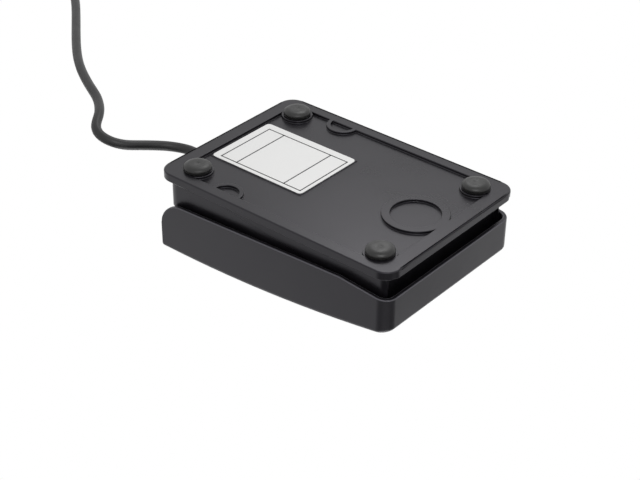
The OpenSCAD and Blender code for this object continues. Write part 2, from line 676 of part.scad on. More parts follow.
module switch_plunger() color([0.75, 0.12, 0.10]) on_feet() translate([plunger_x, switch_y, 0]) {
    translate([-plunger_w / 2, -plunger_d / 2, switch_top - plunger_in])
        cube([plunger_w, plunger_d, plunger_in + plunger_up - 0.6]);
    intersection() {
        translate([-plunger_w / 2, -plunger_d / 2, plunger_top - 1]) cube([plunger_w, plunger_d, 1]);
        translate([0, 0, plunger_top - 2.4]) along_y(plunger_d + 1) circle(r = 2.4);
    }
}

module switch_terminals() color([0.75, 0.66, 0.35]) on_feet()
for (x = terminal_xs) translate([x, switch_y, 0]) {
    translate([-0.6, -0.25, switch_z - 3.4]) cube([1.2, 0.5, 3.4]);
    translate([-0.9, -0.25, pcb_z - 0.9]) cube([1.8, 0.5, 0.3]);
}

// socket open towards the rear, with the plug of the four wires in it
module board_header() color([0.88, 0.86, 0.78]) on_feet()
translate([header_x, header_y0, pcb_top]) difference() {
    translate([-header_w / 2, 0, 0]) cube([header_w, header_l, header_h]);
    translate([-header_w / 2 + 0.8, 1.2, 0.9]) cube([header_w - 1.6, header_l, header_h - 1.8]);
    translate([-2, 1.2, header_h - 1.5]) cube([4, header_l, 2]);
}
module wire_plug() color([0.92, 0.91, 0.87]) on_feet() translate([header_x, header_y0, pcb_top]) {
    translate([-header_w / 2 + 0.95, 1.5, 1.05]) cube([header_w - 1.9, 9, header_h - 2.1]);
    translate([-1.6, 3, header_h - 1.1]) cube([3.2, 5.6, 0.7]);
}
wire_face = header_y0 + 10.5;
wire_z = pcb_top + header_h / 2;
module lead_wires() on_feet() for (i = [0 : 3]) {
    x0 = cord_x + (i < 2 ? -0.6 : 0.6);
    z0 = cord_h + (i % 2 == 0 ? -0.6 : 0.6);
    x1 = header_x + (i - 1.5) * 2;
    y0 = tail_end;
    path = [for (k = [0 : 8]) let(s = k / 8, w = s * s * (3 - 2 * s))
        [x0 + (x1 - x0) * w, y0 + (wire_face - y0) * s, z0 + (wire_z - z0) * w]];
    color([[0.10, 0.10, 0.10], [0.05, 0.45, 0.15], [0.85, 0.85, 0.82], [0.70, 0.08, 0.06]][i])
        tube(path, 0.45, 6);
}

// ---------------------------------------------------------------- cable inside the housing
module strain_relief() color([0.10, 0.10, 0.10]) on_feet()
translate([cord_x, 0, cord_h]) rotate([-90, 0, 0]) difference() {
    union() {
        translate([0, 0, wall_rear - wall_t - 1.5]) cylinder(r = relief_neck_r + 1, h = 1.45);
        translate([0, 0, wall_rear - wall_t - 0.1]) cylinder(r = relief_neck_r, h = wall_t + 0.2);
        translate([0, 0, wall_rear + 0.05]) cylinder(r = relief_neck_r + 0.8, h = 1.6);
        translate([0, 0, wall_rear + 1.6])
            cylinder(r1 = relief_neck_r + 0.1, r2 = cable_r + 0.7, h = relief_l - 1.6);
    }
    translate([0, 0, wall_rear - wall_t - 3]) cylinder(r = cable_r + 0.05, h = relief_l + wall_t + 6);
}

module cable_tail() color([0.12, 0.12, 0.12]) on_feet()
    translate([cord_x, (tail_end + relief_end) / 2, cord_h]) along_y(relief_end - tail_end)
        circle(r = cable_r);

clamp_z = cord_h + 0.02;
clamp_h = cable_r + 1.2;
module cable_clamp() color([0.13, 0.13, 0.14]) on_feet() difference() {
    union() {
        translate([cord_x - clamp_dx, clamp_y - clamp_w / 2, clamp_z]) cube([2 * clamp_dx, clamp_w, clamp_h]);
        at_clamp_screws() translate([0, 0, clamp_z]) cylinder(d = clamp_w, h = clamp_h);
    }
    translate([cord_x, clamp_y, cord_h]) along_y(clamp_w + 2) circle(r = cable_r + 0.05);
    at_clamp_screws() translate([0, 0, cord_h - 1]) cylinder(d = screw_hole_d, h = 10);
}
module clamp_screws() color([0.70, 0.71, 0.73]) on_feet() at_clamp_screws()
    translate([0, 0, clamp_z + clamp_h]) pan_screw(cable_r + 4.8);

// ---------------------------------------------------------------- cord outside the housing
// heights here are above the floor
lie = cord_d / 2;
out_z = cord_h + foot_h;
// the coil: four layers that spiral in and out, climbing where they turn back
coil_pitch = cord_d + coil_gap;
coil_lift = 0.7;
coil_in_r = coil_mid_r + coil_pitch * coil_layer_turns / 2;
coil_c = [3, 232];
coil_a0 = 138;
coil_z0 = lie + coil_lift;
coil_turns = 4 * coil_layer_turns;
function coil_fold(t) = abs((t / coil_layer_turns) % 2 - 1);
function coil_r(t) = coil_in_r - coil_pitch * coil_layer_turns * (1 - coil_fold(t));
// a climb takes the half turn round each place where the spiral turns back
function coil_climb(t, k) = let(u = (t - k * coil_layer_turns + 0.25) / 0.5) u <= 0 ? 0 : u >= 1 ? 1 : u;
function coil_z(t) = coil_z0 + coil_pitch * (coil_climb(t, 1) + coil_climb(t, 2) + coil_climb(t, 3));
function coil_at(t) = let(a = coil_a0 - 360 * t)
    [coil_c[0] + coil_r(t) * cos(a), coil_c[1] + coil_r(t) * sin(a), coil_z(t)];
coil_in = coil_at(0);
coil_out = coil_at(coil_turns);
coil_dir = [sin(coil_a0), -cos(coil_a0), 0];
coil_points = concat([coil_in, coil_in + cord_d * coil_dir * 0.5],
    [for (i = [3 : 24 * coil_turns - 3]) coil_at(i / 24)],
    [coil_out - cord_d * coil_dir * 0.5, coil_out]);

cord_points = [[cord_x, relief_end, out_z], [cord_x, relief_end + cord_d, out_z],
    [8.9, 64.9, 11], [11.2, 68.3, 10.6], [14.4, 70.9, 9.9], [18, 72.9, 9], [21.6, 74.4, 8], [25, 76.1, 7],
    [27.6, 78.4, 5.9], [29, 81.5, 4.9], [29.1, 84.9, 3.9], [27.7, 87.7, 3], [25.2, 89.9, 2.3],
    [22.2, 92.1, 1.9], [19.2, 94.9, lie], [16.2, 98.4, lie], [13.2, 102.8, lie], [10.6, 107.6, lie],
    [8, 112.6, lie], [5.2, 117.6, lie], [1.8, 123.2, lie], [-2.8, 129.8, lie], [-8.4, 136.8, lie],
    [-15.8, 145.2, lie], [-24.8, 155, lie], [-34.2, 165.3, lie], [-41, 173.4, lie], [-45.6, 181, lie],
    [-47.6, 189.5, lie], [-47.2, 198.5, lie], [-44.9, 207.5, lie], [-41.3, 216.5, lie], [-36.6, 225.6, 1.9],
    [-31, 234, 2.1], [-24.6, 241.4, 2.4], coil_in - cord_d * coil_dir, coil_in];

// the plug lies on the coil, and the lead climbs onto the coil to meet it
coil_top = coil_lift + 3 * coil_pitch + cord_d;
plug_at = [coil_c[0] + 14, coil_c[1] + 12, coil_top + 0.3 + grip_h / 2];
climb_points = [[-12.9, 23.5, 14.9], [-7.8, 25.7, 15.4], [-2.4, 26.6, 16.4], [3, 26.2, 17.9],
    [8, 24.2, 19.4], [11.8, 20.8, 20.4]];
lead_points = concat([coil_out, coil_out + cord_d * coil_dir],
    [for (p = climb_points) [coil_c[0] + p[0], coil_c[1] + p[1], p[2]]],
    [plug_at + [0, cord_d, 0], plug_at]);

module cord_run() color([0.12, 0.12, 0.12]) tube(cord_points, cord_d / 2, 8);
module cord_coil() {
    echo("least gap of the coil to itself", least_gap(coil_points, cord_d, 12));
    color([0.12, 0.12, 0.12]) tube(coil_points, cord_d / 2, 6);
}
module cord_lead() color([0.12, 0.12, 0.12]) tube(lead_points, cord_d / 2, 8);

tie_gap = 0.35;
tie_t = 0.3;
// where round the coil the tie sits
tie_a = 262;
module tie_outline(g) {
    reach = coil_pitch * coil_layer_turns / 2 + lie + g;
    rounded(coil_mid_r - reach, coil_lift - min(g, coil_lift), coil_mid_r + reach,
        coil_top + g, 2);
}
module coil_tie() color([0.09, 0.09, 0.09]) translate([coil_c[0], coil_c[1], 0]) rotate([0, 0, tie_a])
    along_y(5) difference() {
        tie_outline(tie_gap + tie_t);
        tie_outline(tie_gap);
    }

// ---------------------------------------------------------------- plug, lying flat, its shell to the front
module at_plug() translate(plug_at) rotate([90, 0, 0]) children();
boot_l = 8;
shell_w = 12;
shell_h = 4.5;
shell_t = 0.3;
shell_in = 5;
shell_z0 = boot_l + grip_l - shell_in;
tongue_t = 1.85;
module shell_outline(g) rounded(-shell_w / 2 - g, -shell_h / 2 - g, shell_w / 2 + g, shell_h / 2 + g, 0.5);
module shell_inner(g) rounded(-shell_w / 2 + shell_t + g, -shell_h / 2 + shell_t + g,
    shell_w / 2 - shell_t - g, shell_h / 2 - shell_t - g, 0.25);
module plug_body() color([0.10, 0.10, 0.10]) at_plug() difference() {
    union() {
        cylinder(r1 = cable_r + 0.7, r2 = 3.2, h = boot_l);
        translate([0, 0, boot_l - eps]) linear_extrude(height = grip_l)
            rounded(-grip_w / 2, -grip_h / 2, grip_w / 2, grip_h / 2, 2);
    }
    translate([0, 0, shell_z0]) linear_extrude(height = shell_in + 1) shell_outline(0.03);
    // finger grooves on both flat sides
    for (s = [-1, 1], i = [0 : 3]) translate([0, s * (grip_h / 2 + 0.3), boot_l + 4 + i * 2.6])
        rotate([0, 90, 0]) cylinder(r = 0.8, h = grip_w - 5, center = true, $fn = 24);
}
module plug_shell() color([0.75, 0.76, 0.78]) at_plug() difference() {
    translate([0, 0, shell_z0]) linear_extrude(height = shell_l + shell_in) shell_outline(0);
    translate([0, 0, shell_z0 - 1]) linear_extrude(height = shell_l + shell_in + 2) shell_inner(0);
    // two square windows in each flat side
    window_z = boot_l + grip_l + shell_l - 7.4;
    for (s = [-1, 1], u = [-1, 1]) translate([s * 2.6 - 1.1, u * shell_h / 2 - 0.5, window_z])
        cube([2.2, 1, 2.2]);
}
// a short block at the shell's root carries the tongue
module plug_tongue() color([0.90, 0.90, 0.88]) at_plug() translate([0, 0, shell_z0 + 0.3]) {
    linear_extrude(height = 4) shell_inner(0.04);
    linear_extrude(height = shell_l + 4) intersection() {
        shell_inner(0.04);
        translate([0, -shell_h / 2 + shell_t + tongue_t / 2]) square([shell_w, tongue_t], center = true);
    }
}
module plug_contacts() color([0.85, 0.68, 0.25]) at_plug() for (x = [-3.5, -1, 1, 3.5])
    translate([x - 0.5, -shell_h / 2 + shell_t + tongue_t, shell_z0 + 4.3])
        cube([1, 0.12, shell_l - (abs(x) > 2 ? 1 : 2)]);

base_housing();
pedal_cover();
hinge_pin();
return_spring();
rubber_foot_front_left();
rubber_foot_front_right();
rubber_foot_rear_left();
rubber_foot_rear_right();
label();
stop_bumpers();
pcb();
pcb_screws();
controller_chip();
crystal();
capacitor();
switch_body();
switch_plunger();
switch_terminals();
board_header();
wire_plug();
lead_wires();
cable_tail();
cable_clamp();
clamp_screws();
strain_relief();
cord_run();
cord_coil();
cord_lead();
coil_tie();
plug_body();
plug_shell();
plug_tongue();
plug_contacts();
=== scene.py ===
"""Dresses the foot pedal of a sewing or quilting machine.

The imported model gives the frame: metres, the floor at z = 0, +Z up and +Y
towards the cord. Sizes in the classes are millimetres and become metres where
a mesh is made.
"""

from __future__ import annotations

import logging
from collections.abc import Callable, Mapping, Sequence
from dataclasses import dataclass, field
from enum import Enum

import bmesh
import bpy
import numpy as np
from mathutils import Matrix, Vector

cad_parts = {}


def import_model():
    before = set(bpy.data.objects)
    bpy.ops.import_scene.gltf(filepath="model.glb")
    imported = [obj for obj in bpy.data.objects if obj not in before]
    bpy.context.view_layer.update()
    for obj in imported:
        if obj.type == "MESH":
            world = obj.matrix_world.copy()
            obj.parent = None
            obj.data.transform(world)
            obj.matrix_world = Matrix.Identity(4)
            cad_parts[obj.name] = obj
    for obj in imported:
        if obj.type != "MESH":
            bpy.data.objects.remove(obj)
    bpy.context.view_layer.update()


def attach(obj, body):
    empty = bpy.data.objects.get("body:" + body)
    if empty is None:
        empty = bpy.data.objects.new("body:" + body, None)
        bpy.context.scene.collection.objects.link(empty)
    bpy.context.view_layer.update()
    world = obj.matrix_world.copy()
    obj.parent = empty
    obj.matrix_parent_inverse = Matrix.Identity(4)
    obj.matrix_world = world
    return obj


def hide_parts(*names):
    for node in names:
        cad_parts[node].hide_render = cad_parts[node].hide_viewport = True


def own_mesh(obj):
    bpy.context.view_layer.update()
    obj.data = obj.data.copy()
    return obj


LOG = logging.getLogger("foot_pedal")
MM = 0.001

Points = np.ndarray
Faces = list[list[int]]
Vec3 = tuple[float, float, float]


# ------------------------------------------------------------------ materials
def linear(code: str) -> tuple[float, float, float, float]:
    """Turns an sRGB hex colour to linear light.

    Args:
        code: six hex digits, such as "1b1b1d".

    Returns:
        Red, green, blue and an alpha of 1, linear.
    """
    srgb = np.array([int(code[i : i + 2], 16) for i in (0, 2, 4)]) / 255.0
    lin = np.where(srgb <= 0.04045, srgb / 12.92, ((srgb + 0.055) / 1.055) ** 2.4)
    return (float(lin[0]), float(lin[1]), float(lin[2]), 1.0)


def add_node(
    tree: bpy.types.NodeTree,
    kind: str,
    settings: Mapping[str, object] | None = None,
    inputs: Mapping[int | str, object] | None = None,
) -> bpy.types.Node:
    """Adds one node with its settings, its values and its links.

    Args:
        tree: the node tree that takes the node.
        kind: Blender's name of the node type.
        settings: properties of the node and their values.
        inputs: sockets by name or number, each with a value or with the
            output socket that is linked to it.

    Returns:
        The new node.
    """
    made = tree.nodes.new(kind)
    for name, value in (settings or {}).items():
        setattr(made, name, value)
    for socket, value in (inputs or {}).items():
        if isinstance(value, bpy.types.NodeSocket):
            tree.links.new(value, made.inputs[socket])
        else:
            made.inputs[socket].default_value = value
    return made


def blank_material(name: str) -> tuple[bpy.types.Material, bpy.types.NodeTree]:
    """Makes a material without nodes.

    Args:
        name: the material's name.

    Returns:
        The material and its empty node tree.
    """
    made = bpy.data.materials.new(name)
    made.use_nodes = True
    made.node_tree.nodes.clear()
    return made, made.node_tree


def add_object(name: str, data: bpy.types.ID) -> bpy.types.Object:
    """Puts a new object into the scene.

    Args:
        name: the object's name.
        data: its mesh, camera or lamp.

    Returns:
        The object, at the origin.
    """
    made = bpy.data.objects.new(name, data)
    bpy.context.scene.collection.objects.link(made)
    return made


class Relief(Enum):
    """How a finish's surface stands in relief."""

    SMOOTH = "smooth"
    GRAINED = "grained"
    WOVEN = "woven"
    BRUSHED = "brushed"


WHITE = (1.0, 1.0, 1.0, 1.0)
# The values of a noise texture lie mostly between these two.
NOISE_SPREAD = (0.3, 0.7)
CLOUD_DETAIL = 3.0
GRAIN_DETAIL = 2.0
# A wave texture's bands come out two grains wide when this divides its scale.
WAVE_SPACING = 6.3
# Brushing and drawing stretch the grain to 25 times its width.
BRUSHED_SCALE = (0.04, 1.0, 1.0)


@dataclass(frozen=True)
class Finish:
    """A finish of one material, with its colour clouded and its gloss uneven.

    Attributes:
        name: what the material is and how its surface was made.
        colour: sRGB hex of the material.
        second: sRGB hex that the clouds lean to.
        roughness: mean roughness.
        uneven: how far the roughness swings either way.
        cloud_mm: size of the clouds in colour and gloss.
        relief: kind of fine relief.
        grain_mm: spacing of the fine relief.
        depth_mm: depth of the fine relief.
        metallic: 1 for a metal.
        ior: index of refraction of a plastic.
        coat: weight of a clear coat.
        sheen: weight of the soft sheen at grazing angles.
        glint: sRGB hex that its reflections are tinted with.
    """

    name: str
    colour: str
    second: str
    roughness: float = 0.45
    uneven: float = 0.06
    cloud_mm: float = 14.0
    relief: Relief = Relief.GRAINED
    grain_mm: float = 0.5
    depth_mm: float = 0.01
    metallic: float = 0.0
    ior: float = 1.46
    coat: float = 0.0
    sheen: float = 0.0
    glint: str = "ffffff"

    def fine_height(
        self, tree: bpy.types.NodeTree, place: bpy.types.NodeSocket
    ) -> bpy.types.NodeSocket:
        """Gives the height of the fine relief, from 0 to 1.

        Args:
            tree: the material's node tree.
            place: the output that holds the object coordinates.

        Returns:
            The socket with the height.
        """
        scale = 1.0 / (self.grain_mm * MM)
        if self.relief is Relief.WOVEN:
            warp, weft = (
                add_node(
                    tree,
                    "ShaderNodeTexWave",
                    {"bands_direction": way},
                    {"Vector": place, "Scale": scale / WAVE_SPACING},
                )
                for way in ("DIAGONAL", "Z")
            )
            both = add_node(
                tree,
                "ShaderNodeMath",
                {"operation": "MAXIMUM"},
                {0: warp.outputs["Fac"], 1: weft.outputs["Fac"]},
            )
            return both.outputs[0]
        if self.relief is Relief.BRUSHED:
            drawn = add_node(
                tree, "ShaderNodeMapping", None, {"Vector": place, "Scale": BRUSHED_SCALE}
            )
            place = drawn.outputs[0]
        grain = add_node(
            tree,
            "ShaderNodeTexNoise",
            None,
            {"Vector": place, "Scale": scale, "Detail": GRAIN_DETAIL},
        )
        return grain.outputs["Fac"]

    def build(self) -> bpy.types.Material:
        """Makes the material, or finds it if it is there already.

        Returns:
            The material.
        """
        if self.name in bpy.data.materials:
            return bpy.data.materials[self.name]
        made, tree = blank_material(self.name)
        place = add_node(tree, "ShaderNodeTexCoord").outputs["Object"]
        clouds = add_node(
            tree,
            "ShaderNodeTexNoise",
            None,
            {"Vector": place, "Scale": 1.0 / (self.cloud_mm * MM), "Detail": CLOUD_DETAIL},
        )
        cloud = clouds.outputs["Fac"]
        tone = add_node(
            tree,
            "ShaderNodeMix",
            {"data_type": "RGBA"},
            {"Factor": cloud, "A": linear(self.colour), "B": linear(self.second)},
        )
        gloss = add_node(
            tree,
            "ShaderNodeMapRange",
            None,
            {
                "Value": cloud,
                "From Min": NOISE_SPREAD[0],
                "From Max": NOISE_SPREAD[1],
                "To Min": self.roughness - self.uneven,
                "To Max": self.roughness + self.uneven,
            },
        )
        shader = add_node(
            tree,
            "ShaderNodeBsdfPrincipled",
            None,
            {
                "Base Color": tone.outputs["Result"],
                "Roughness": gloss.outputs["Result"],
                "Metallic": self.metallic,
                "Coat Weight": self.coat,
                "Sheen Weight": self.sheen,
                "Specular Tint": linear(self.glint),
            },
        )
        if not self.metallic:
            shader.inputs["IOR"].default_value = self.ior
        if self.relief is not Relief.SMOOTH:
            height, depth = self.fine_height(tree, place), self.depth_mm * MM
            bump = add_node(
                tree, "ShaderNodeBump", None, {"Height": height, "Distance": depth, "Strength": 1.0}
            )
            tree.links.new(bump.outputs[0], shader.inputs["Normal"])
        add_node(tree, "ShaderNodeOutputMaterial", None, {"Surface": shader.outputs[0]})
        return made


# Reflections in the black ABS are very slightly violet.
ABS_GLINT = "f7f4ff"
# Injection moulded ABS: a satin black with a fine spark eroded grain, drawn
# coarser than the real 0.1 mm so that it breaks up the gloss in a picture.
BLACK_ABS = Finish(
    "moulded_black_abs", "111013", "171619", 0.3, 0.04, 18.0,
    Relief.GRAINED, 0.45, 0.004, ior=1.42, glint=ABS_GLINT,
)
TREAD_ABS = Finish(
    "moulded_black_abs_tread", "100f12", "161518", 0.38, 0.04, 22.0,
    Relief.GRAINED, 0.45, 0.004, glint=ABS_GLINT,
)
# The same ABS made paler and plain for the rounds along the tread's edges: a painted highlight
# along them.
EDGE_HIGHLIGHT_ABS = Finish(
    "black_abs_painted_edge_highlight", "4c4b50", "5a595e", 0.42, 0.05, 6.0, Relief.SMOOTH, glint=ABS_GLINT
)
# Moulded thermoplastic rubber: duller, with a soft bloom.
RUBBER = Finish(
    "moulded_black_rubber", "151515", "1d1d1c", 0.40, 0.07, 3.0,
    Relief.GRAINED, 0.6, 0.02, sheen=0.04,
)
# Soft PVC, extruded and moulded: even and dull.
CORD_PVC = Finish(
    "extruded_black_pvc", "141415", "1b1b1c", 0.48, 0.05, 9.0, Relief.GRAINED, 0.7, 0.012
)
PLUG_PVC = Finish(
    "moulded_black_pvc", "151516", "1b1b1c", 0.5, 0.05, 8.0, Relief.GRAINED, 0.5, 0.012
)
# White polyester label film with a satin overlaminate, and its plain grey print.
LABEL_FILM = Finish(
    "white_label_film", "fbfbfa", "f6f6f5", 0.36, 0.03, 12.0, Relief.GRAINED, 0.8, 0.002
)
LABEL_INK = Finish("grey_label_ink", "2a2a2c", "343436", 0.4, 0.03, 2.0, Relief.SMOOTH)
# Drawn and plated steel, stamped brass and tinned cans: bright, with fine
# lines along the drawing.
STEEL = Finish(
    "nickel_plated_steel", "b9babd", "a8a9ad", 0.28, 0.06, 3.0, Relief.BRUSHED, 0.2, 0.002, 1.0
)
SPRING_WIRE = Finish(
    "drawn_spring_steel", "a9aaae", "94959a", 0.3, 0.06, 2.0, Relief.BRUSHED, 0.2, 0.002, 1.0
)
SHELL_STEEL = Finish(
    "stamped_tinned_steel", "c4c5c8", "b5b6ba", 0.24, 0.05, 4.0, Relief.BRUSHED, 0.3, 0.002, 1.0
)
BRASS = Finish(
    "gold_plated_brass", "d9b45e", "c9a24c", 0.25, 0.05, 2.0, Relief.BRUSHED, 0.2, 0.002, 1.0
)
CAN_TIN = Finish("drawn_can", "c8c9cc", "b9babd", 0.22, 0.05, 3.0, Relief.BRUSHED, 0.2, 0.002, 1.0)
# Shrunk sleeve of the capacitor: plain and glossy.
CAN_SLEEVE = Finish("blue_black_can_sleeve", "1d2340", "252c4e", 0.3, 0.04, 3.0, Relief.SMOOTH)
# Printed solder mask: glossy, and slightly uneven over the board's glass cloth.
SOLDER_MASK = Finish(
    "green_solder_mask", "0f4a2a", "1a5f38", 0.3, 0.05, 2.2, Relief.GRAINED, 1.2, 0.01, coat=0.2
)
# Moulded epoxy, PBT and nylon: even and satin, the epoxy dull.
CHIP_EPOXY = Finish(
    "moulded_chip_epoxy", "1b1b1c", "232324", 0.55, 0.04, 2.0, Relief.GRAINED, 0.2, 0.006
)
SWITCH_PBT = Finish(
    "moulded_switch_pbt", "1a1a1c", "212123", 0.45, 0.04, 5.0, Relief.GRAINED, 0.3, 0.004
)
BUTTON_RED = Finish(
    "moulded_red_button", "b3221d", "a01c18", 0.35, 0.04, 2.0, Relief.GRAINED, 0.3, 0.003
)
NYLON = Finish(
    "moulded_cream_nylon", "e6e0cc", "dcd5bf", 0.4, 0.04, 3.0, Relief.GRAINED, 0.3, 0.004
)
TONGUE = Finish(
    "moulded_white_tongue", "efefeb", "e6e6e1", 0.38, 0.04, 4.0, Relief.GRAINED, 0.3, 0.004
)
# Woven hook strap: dull, with its threads drawn 1 mm wide so that they show.
TIE_CLOTH = Finish(
    "woven_hook_strap", "141414", "222222", 0.85, 0.04, 1.5, Relief.WOVEN, 0.5, 0.08, sheen=0.3
)
# Extruded sleeves of the four wires: plain and satin.
WIRE_COLOURS = tuple(
    Finish(f"wire_sleeve_{name}", colour, second, 0.4, 0.03, 2.0, Relief.SMOOTH)
    for name, colour, second in (
        ("black", "17171a", "1e1e21"),
        ("green", "1f7a3a", "2a8a45"),
        ("white", "dcdcd8", "e6e6e2"),
        ("red", "b2241f", "a01c18"),
    )
)


# --------------------------------------------------------------- mesh making
def grid_faces(rows: int, cols: int, close_rows: bool = False, first: int = 0) -> Faces:
    """Quads of a grid whose columns close into a ring.

    Point (i, j) has number first + i * cols + j, and the quad at (i, j) takes
    the points at i and i + 1, j and j + 1, counted round the ring.

    Args:
        rows: number of rings.
        cols: number of points in a ring.
        close_rows: also joins the last ring to the first.
        first: number of the grid's first point.

    Returns:
        The quads, as lists of four point numbers.
    """
    i = np.arange(rows if close_rows else rows - 1)[:, None]
    j = np.arange(cols)[None, :]
    up, along = (i + 1) % rows, (j + 1) % cols
    quads = np.stack([i * cols + j, i * cols + along, up * cols + along, up * cols + j], axis=-1)
    return (quads.reshape(-1, 4) + first).tolist()


def loft(rings: Points, first: int = 0) -> tuple[Points, Faces]:
    """Joins rings of points into a closed solid with flat ends.

    Args:
        rings: array of (rings, points in a ring, 3), counterclockwise seen
            from the last ring's side.
        first: number of the first point, where the mesh has others before it.

    Returns:
        The points and the faces.
    """
    rows, cols = rings.shape[:2]
    faces = grid_faces(rows, cols, first=first)
    faces.append((first + np.arange(cols)[::-1]).tolist())
    faces.append((first + (rows - 1) * cols + np.arange(cols)).tolist())
    return rings.reshape(-1, 3), faces


# Corners and faces of a unit box.
BOX_CORNERS = np.array(
    [[0, 0, 0], [1, 0, 0], [1, 1, 0], [0, 1, 0], [0, 0, 1], [1, 0, 1], [1, 1, 1], [0, 1, 1]]
)
BOX_FACES = np.array(
    [[0, 3, 2, 1], [4, 5, 6, 7], [0, 1, 5, 4], [1, 2, 6, 5], [2, 3, 7, 6], [3, 0, 4, 7]]
)


def piece(
    name: str, points: Points, faces: Faces, finish: Finish, sharp_deg: float = 40.0
) -> bpy.types.Object:
    """Makes an object of a mesh given in millimetres.

    Args:
        name: the piece's name.
        points: array of points in millimetres.
        faces: lists of point numbers.
        finish: what it is made of.
        sharp_deg: an edge that turns more than this stays sharp.

    Returns:
        The new object, at the origin, with its place in its mesh.
    """
    mesh = bpy.data.meshes.new(name)
    mesh.from_pydata((np.asarray(points) * MM).tolist(), [], faces)
    mesh.validate()
    mesh.shade_smooth()
    mesh.set_sharp_from_angle(angle=float(np.radians(sharp_deg)))
    mesh.materials.append(finish.build())
    made = add_object(name, mesh)
    LOG.info("%s: %d points, %d faces", name, len(mesh.vertices), len(mesh.polygons))
    return made


def revolved(profile: Sequence[tuple[float, float]], sides: int) -> tuple[Points, Faces]:
    """Turns a profile round the Z axis: (r cos a, r sin a, z) over a whole turn.

    Args:
        profile: radius and height of each ring, from the lowest end.
        sides: points in a ring.

    Returns:
        The points and the faces, with flat ends.
    """
    rz = np.asarray(profile, float)
    a = np.linspace(0.0, 2 * np.pi, sides, endpoint=False)
    rings = np.empty((len(rz), sides, 3))
    rings[..., 0] = rz[:, :1] * np.cos(a)
    rings[..., 1] = rz[:, :1] * np.sin(a)
    rings[..., 2] = rz[:, 1:]
    return loft(rings)


def arc(
    centre: tuple[float, float], radius: float, start: float, end: float, steps: int
) -> list[tuple[float, float]]:
    """Points of an arc: centre + radius (cos a, sin a).

    Args:
        centre: middle of the arc.
        radius: its radius.
        start: its first angle in degrees.
        end: its last angle in degrees.
        steps: number of points.

    Returns:
        The points as pairs.
    """
    a = np.radians(np.linspace(start, end, steps))
    x, y = centre[0] + radius * np.cos(a), centre[1] + radius * np.sin(a)
    return list(zip(x.tolist(), y.tolist()))


# Points of a spline that are worked out for each one that is kept.
FINER = 8


def smooth_curve(knots: Points, step: float, start: Points, end: Points) -> Points:
    """Evenly spaced points of the cubic spline through the knots.

    The parameter is the running chord length t. The second derivatives m at
    the knots solve h0 m0 + 2 (h0 + h1) m1 + h1 m2 = 6 (slope1 - slope0), and
    at the ends the slope is the given unit direction.

    Args:
        knots: array of points.
        step: distance between the points that come back.
        start: unit direction at the first knot.
        end: unit direction at the last knot.

    Returns:
        Array of points.
    """
    gap = np.diff(knots, axis=0)
    h = np.linalg.norm(gap, axis=1)
    t = np.concatenate([[0.0], np.cumsum(h)])
    slope = gap / h[:, None]
    n = len(knots)
    i = np.arange(1, n - 1)
    a = np.zeros((n, n))
    a[i, i - 1], a[i, i], a[i, i + 1] = h[:-1], 2 * (h[:-1] + h[1:]), h[1:]
    a[0, :2] = 2 * h[0], h[0]
    a[-1, -2:] = h[-1], 2 * h[-1]
    rhs = np.vstack([6 * (slope[0] - start), 6 * np.diff(slope, axis=0), 6 * (end - slope[-1])])
    m = np.linalg.solve(a, rhs)

    def at(s: Points) -> Points:
        """Points of the spline.

        Args:
            s: parameters.

        Returns:
            Array of points.
        """
        k = np.clip(np.searchsorted(t, s, "right") - 1, 0, n - 2)
        u, v, w = (s - t[k])[:, None], (t[k + 1] - s)[:, None], h[k][:, None]
        cubic = (m[k] * v**3 + m[k + 1] * u**3) / (6 * w)
        return cubic + (knots[k] / w - m[k] * w / 6) * v + (knots[k + 1] / w - m[k + 1] * w / 6) * u

    fine = at(np.linspace(0.0, t[-1], FINER * int(t[-1] / step)))
    run = np.concatenate([[0.0], np.cumsum(np.linalg.norm(np.diff(fine, axis=0), axis=1))])
    even = np.linspace(0.0, run[-1], int(round(run[-1] / step)) + 1)
    return np.stack([np.interp(even, run, fine[:, c]) for c in range(3)], axis=1)


def tube(path: Points, radius: float, sides: int, first: int = 0) -> tuple[Points, Faces]:
    """Carries a circle along a path that never stands upright.

    A ring lies at p + radius (cos a side + sin a up), where side is the
    tangent crossed with Z and up is side crossed with the tangent.

    Args:
        path: array of points.
        radius: radius of the circle.
        sides: points in a ring.
        first: number of the first point, where the mesh has others before it.

    Returns:
        The points and the faces.
    """
    tangent = np.gradient(path, axis=0)
    tangent /= np.linalg.norm(tangent, axis=1, keepdims=True)
    side = np.cross(tangent, (0.0, 0.0, 1.0))
    side /= np.linalg.norm(side, axis=1, keepdims=True)
    up = np.cross(side, tangent)
    a = np.linspace(0.0, -2 * np.pi, sides, endpoint=False)[None, :, None]
    rings = path[:, None] + radius * (np.cos(a) * side[:, None] + np.sin(a) * up[:, None])
    return loft(rings, first)


def rounded_loop(width: float, length: float, radius: float, corner: int = 10) -> Points:
    """Outline of a rectangle with round corners, counterclockwise.

    Each corner is an arc of a quarter turn round its own centre.

    Args:
        width: size in X.
        length: size in Y.
        radius: radius of the corners.
        corner: points in a corner.

    Returns:
        Array of (points, 2).
    """
    quarter = np.radians(np.linspace(0.0, 90.0, corner))
    a = quarter[None, :] + np.radians([[0.0], [90.0], [180.0], [270.0]])
    cx = (width / 2 - radius) * np.array([[1.0], [-1.0], [-1.0], [1.0]])
    cy = (length / 2 - radius) * np.array([[1.0], [1.0], [-1.0], [-1.0]])
    return np.stack([(cx + radius * np.cos(a)).ravel(), (cy + radius * np.sin(a)).ravel()], axis=1)


# An edge that turns more than this stays sharp on a piece with fine bevels.
ROUND_DEG = 50.0
# Corners of a copied part that are nearer than this are one, in metres.
MERGE_DISTANCE = 2e-6
# Faces that turn less than this lie in one plane, in radians.
FLAT_ANGLE = 0.003
# Number of steps in the round along an edge.
EDGE_STEPS = 2
# How strongly the large faces of a rounded piece set its shading.
FLAT_FACE_WEIGHT = 80


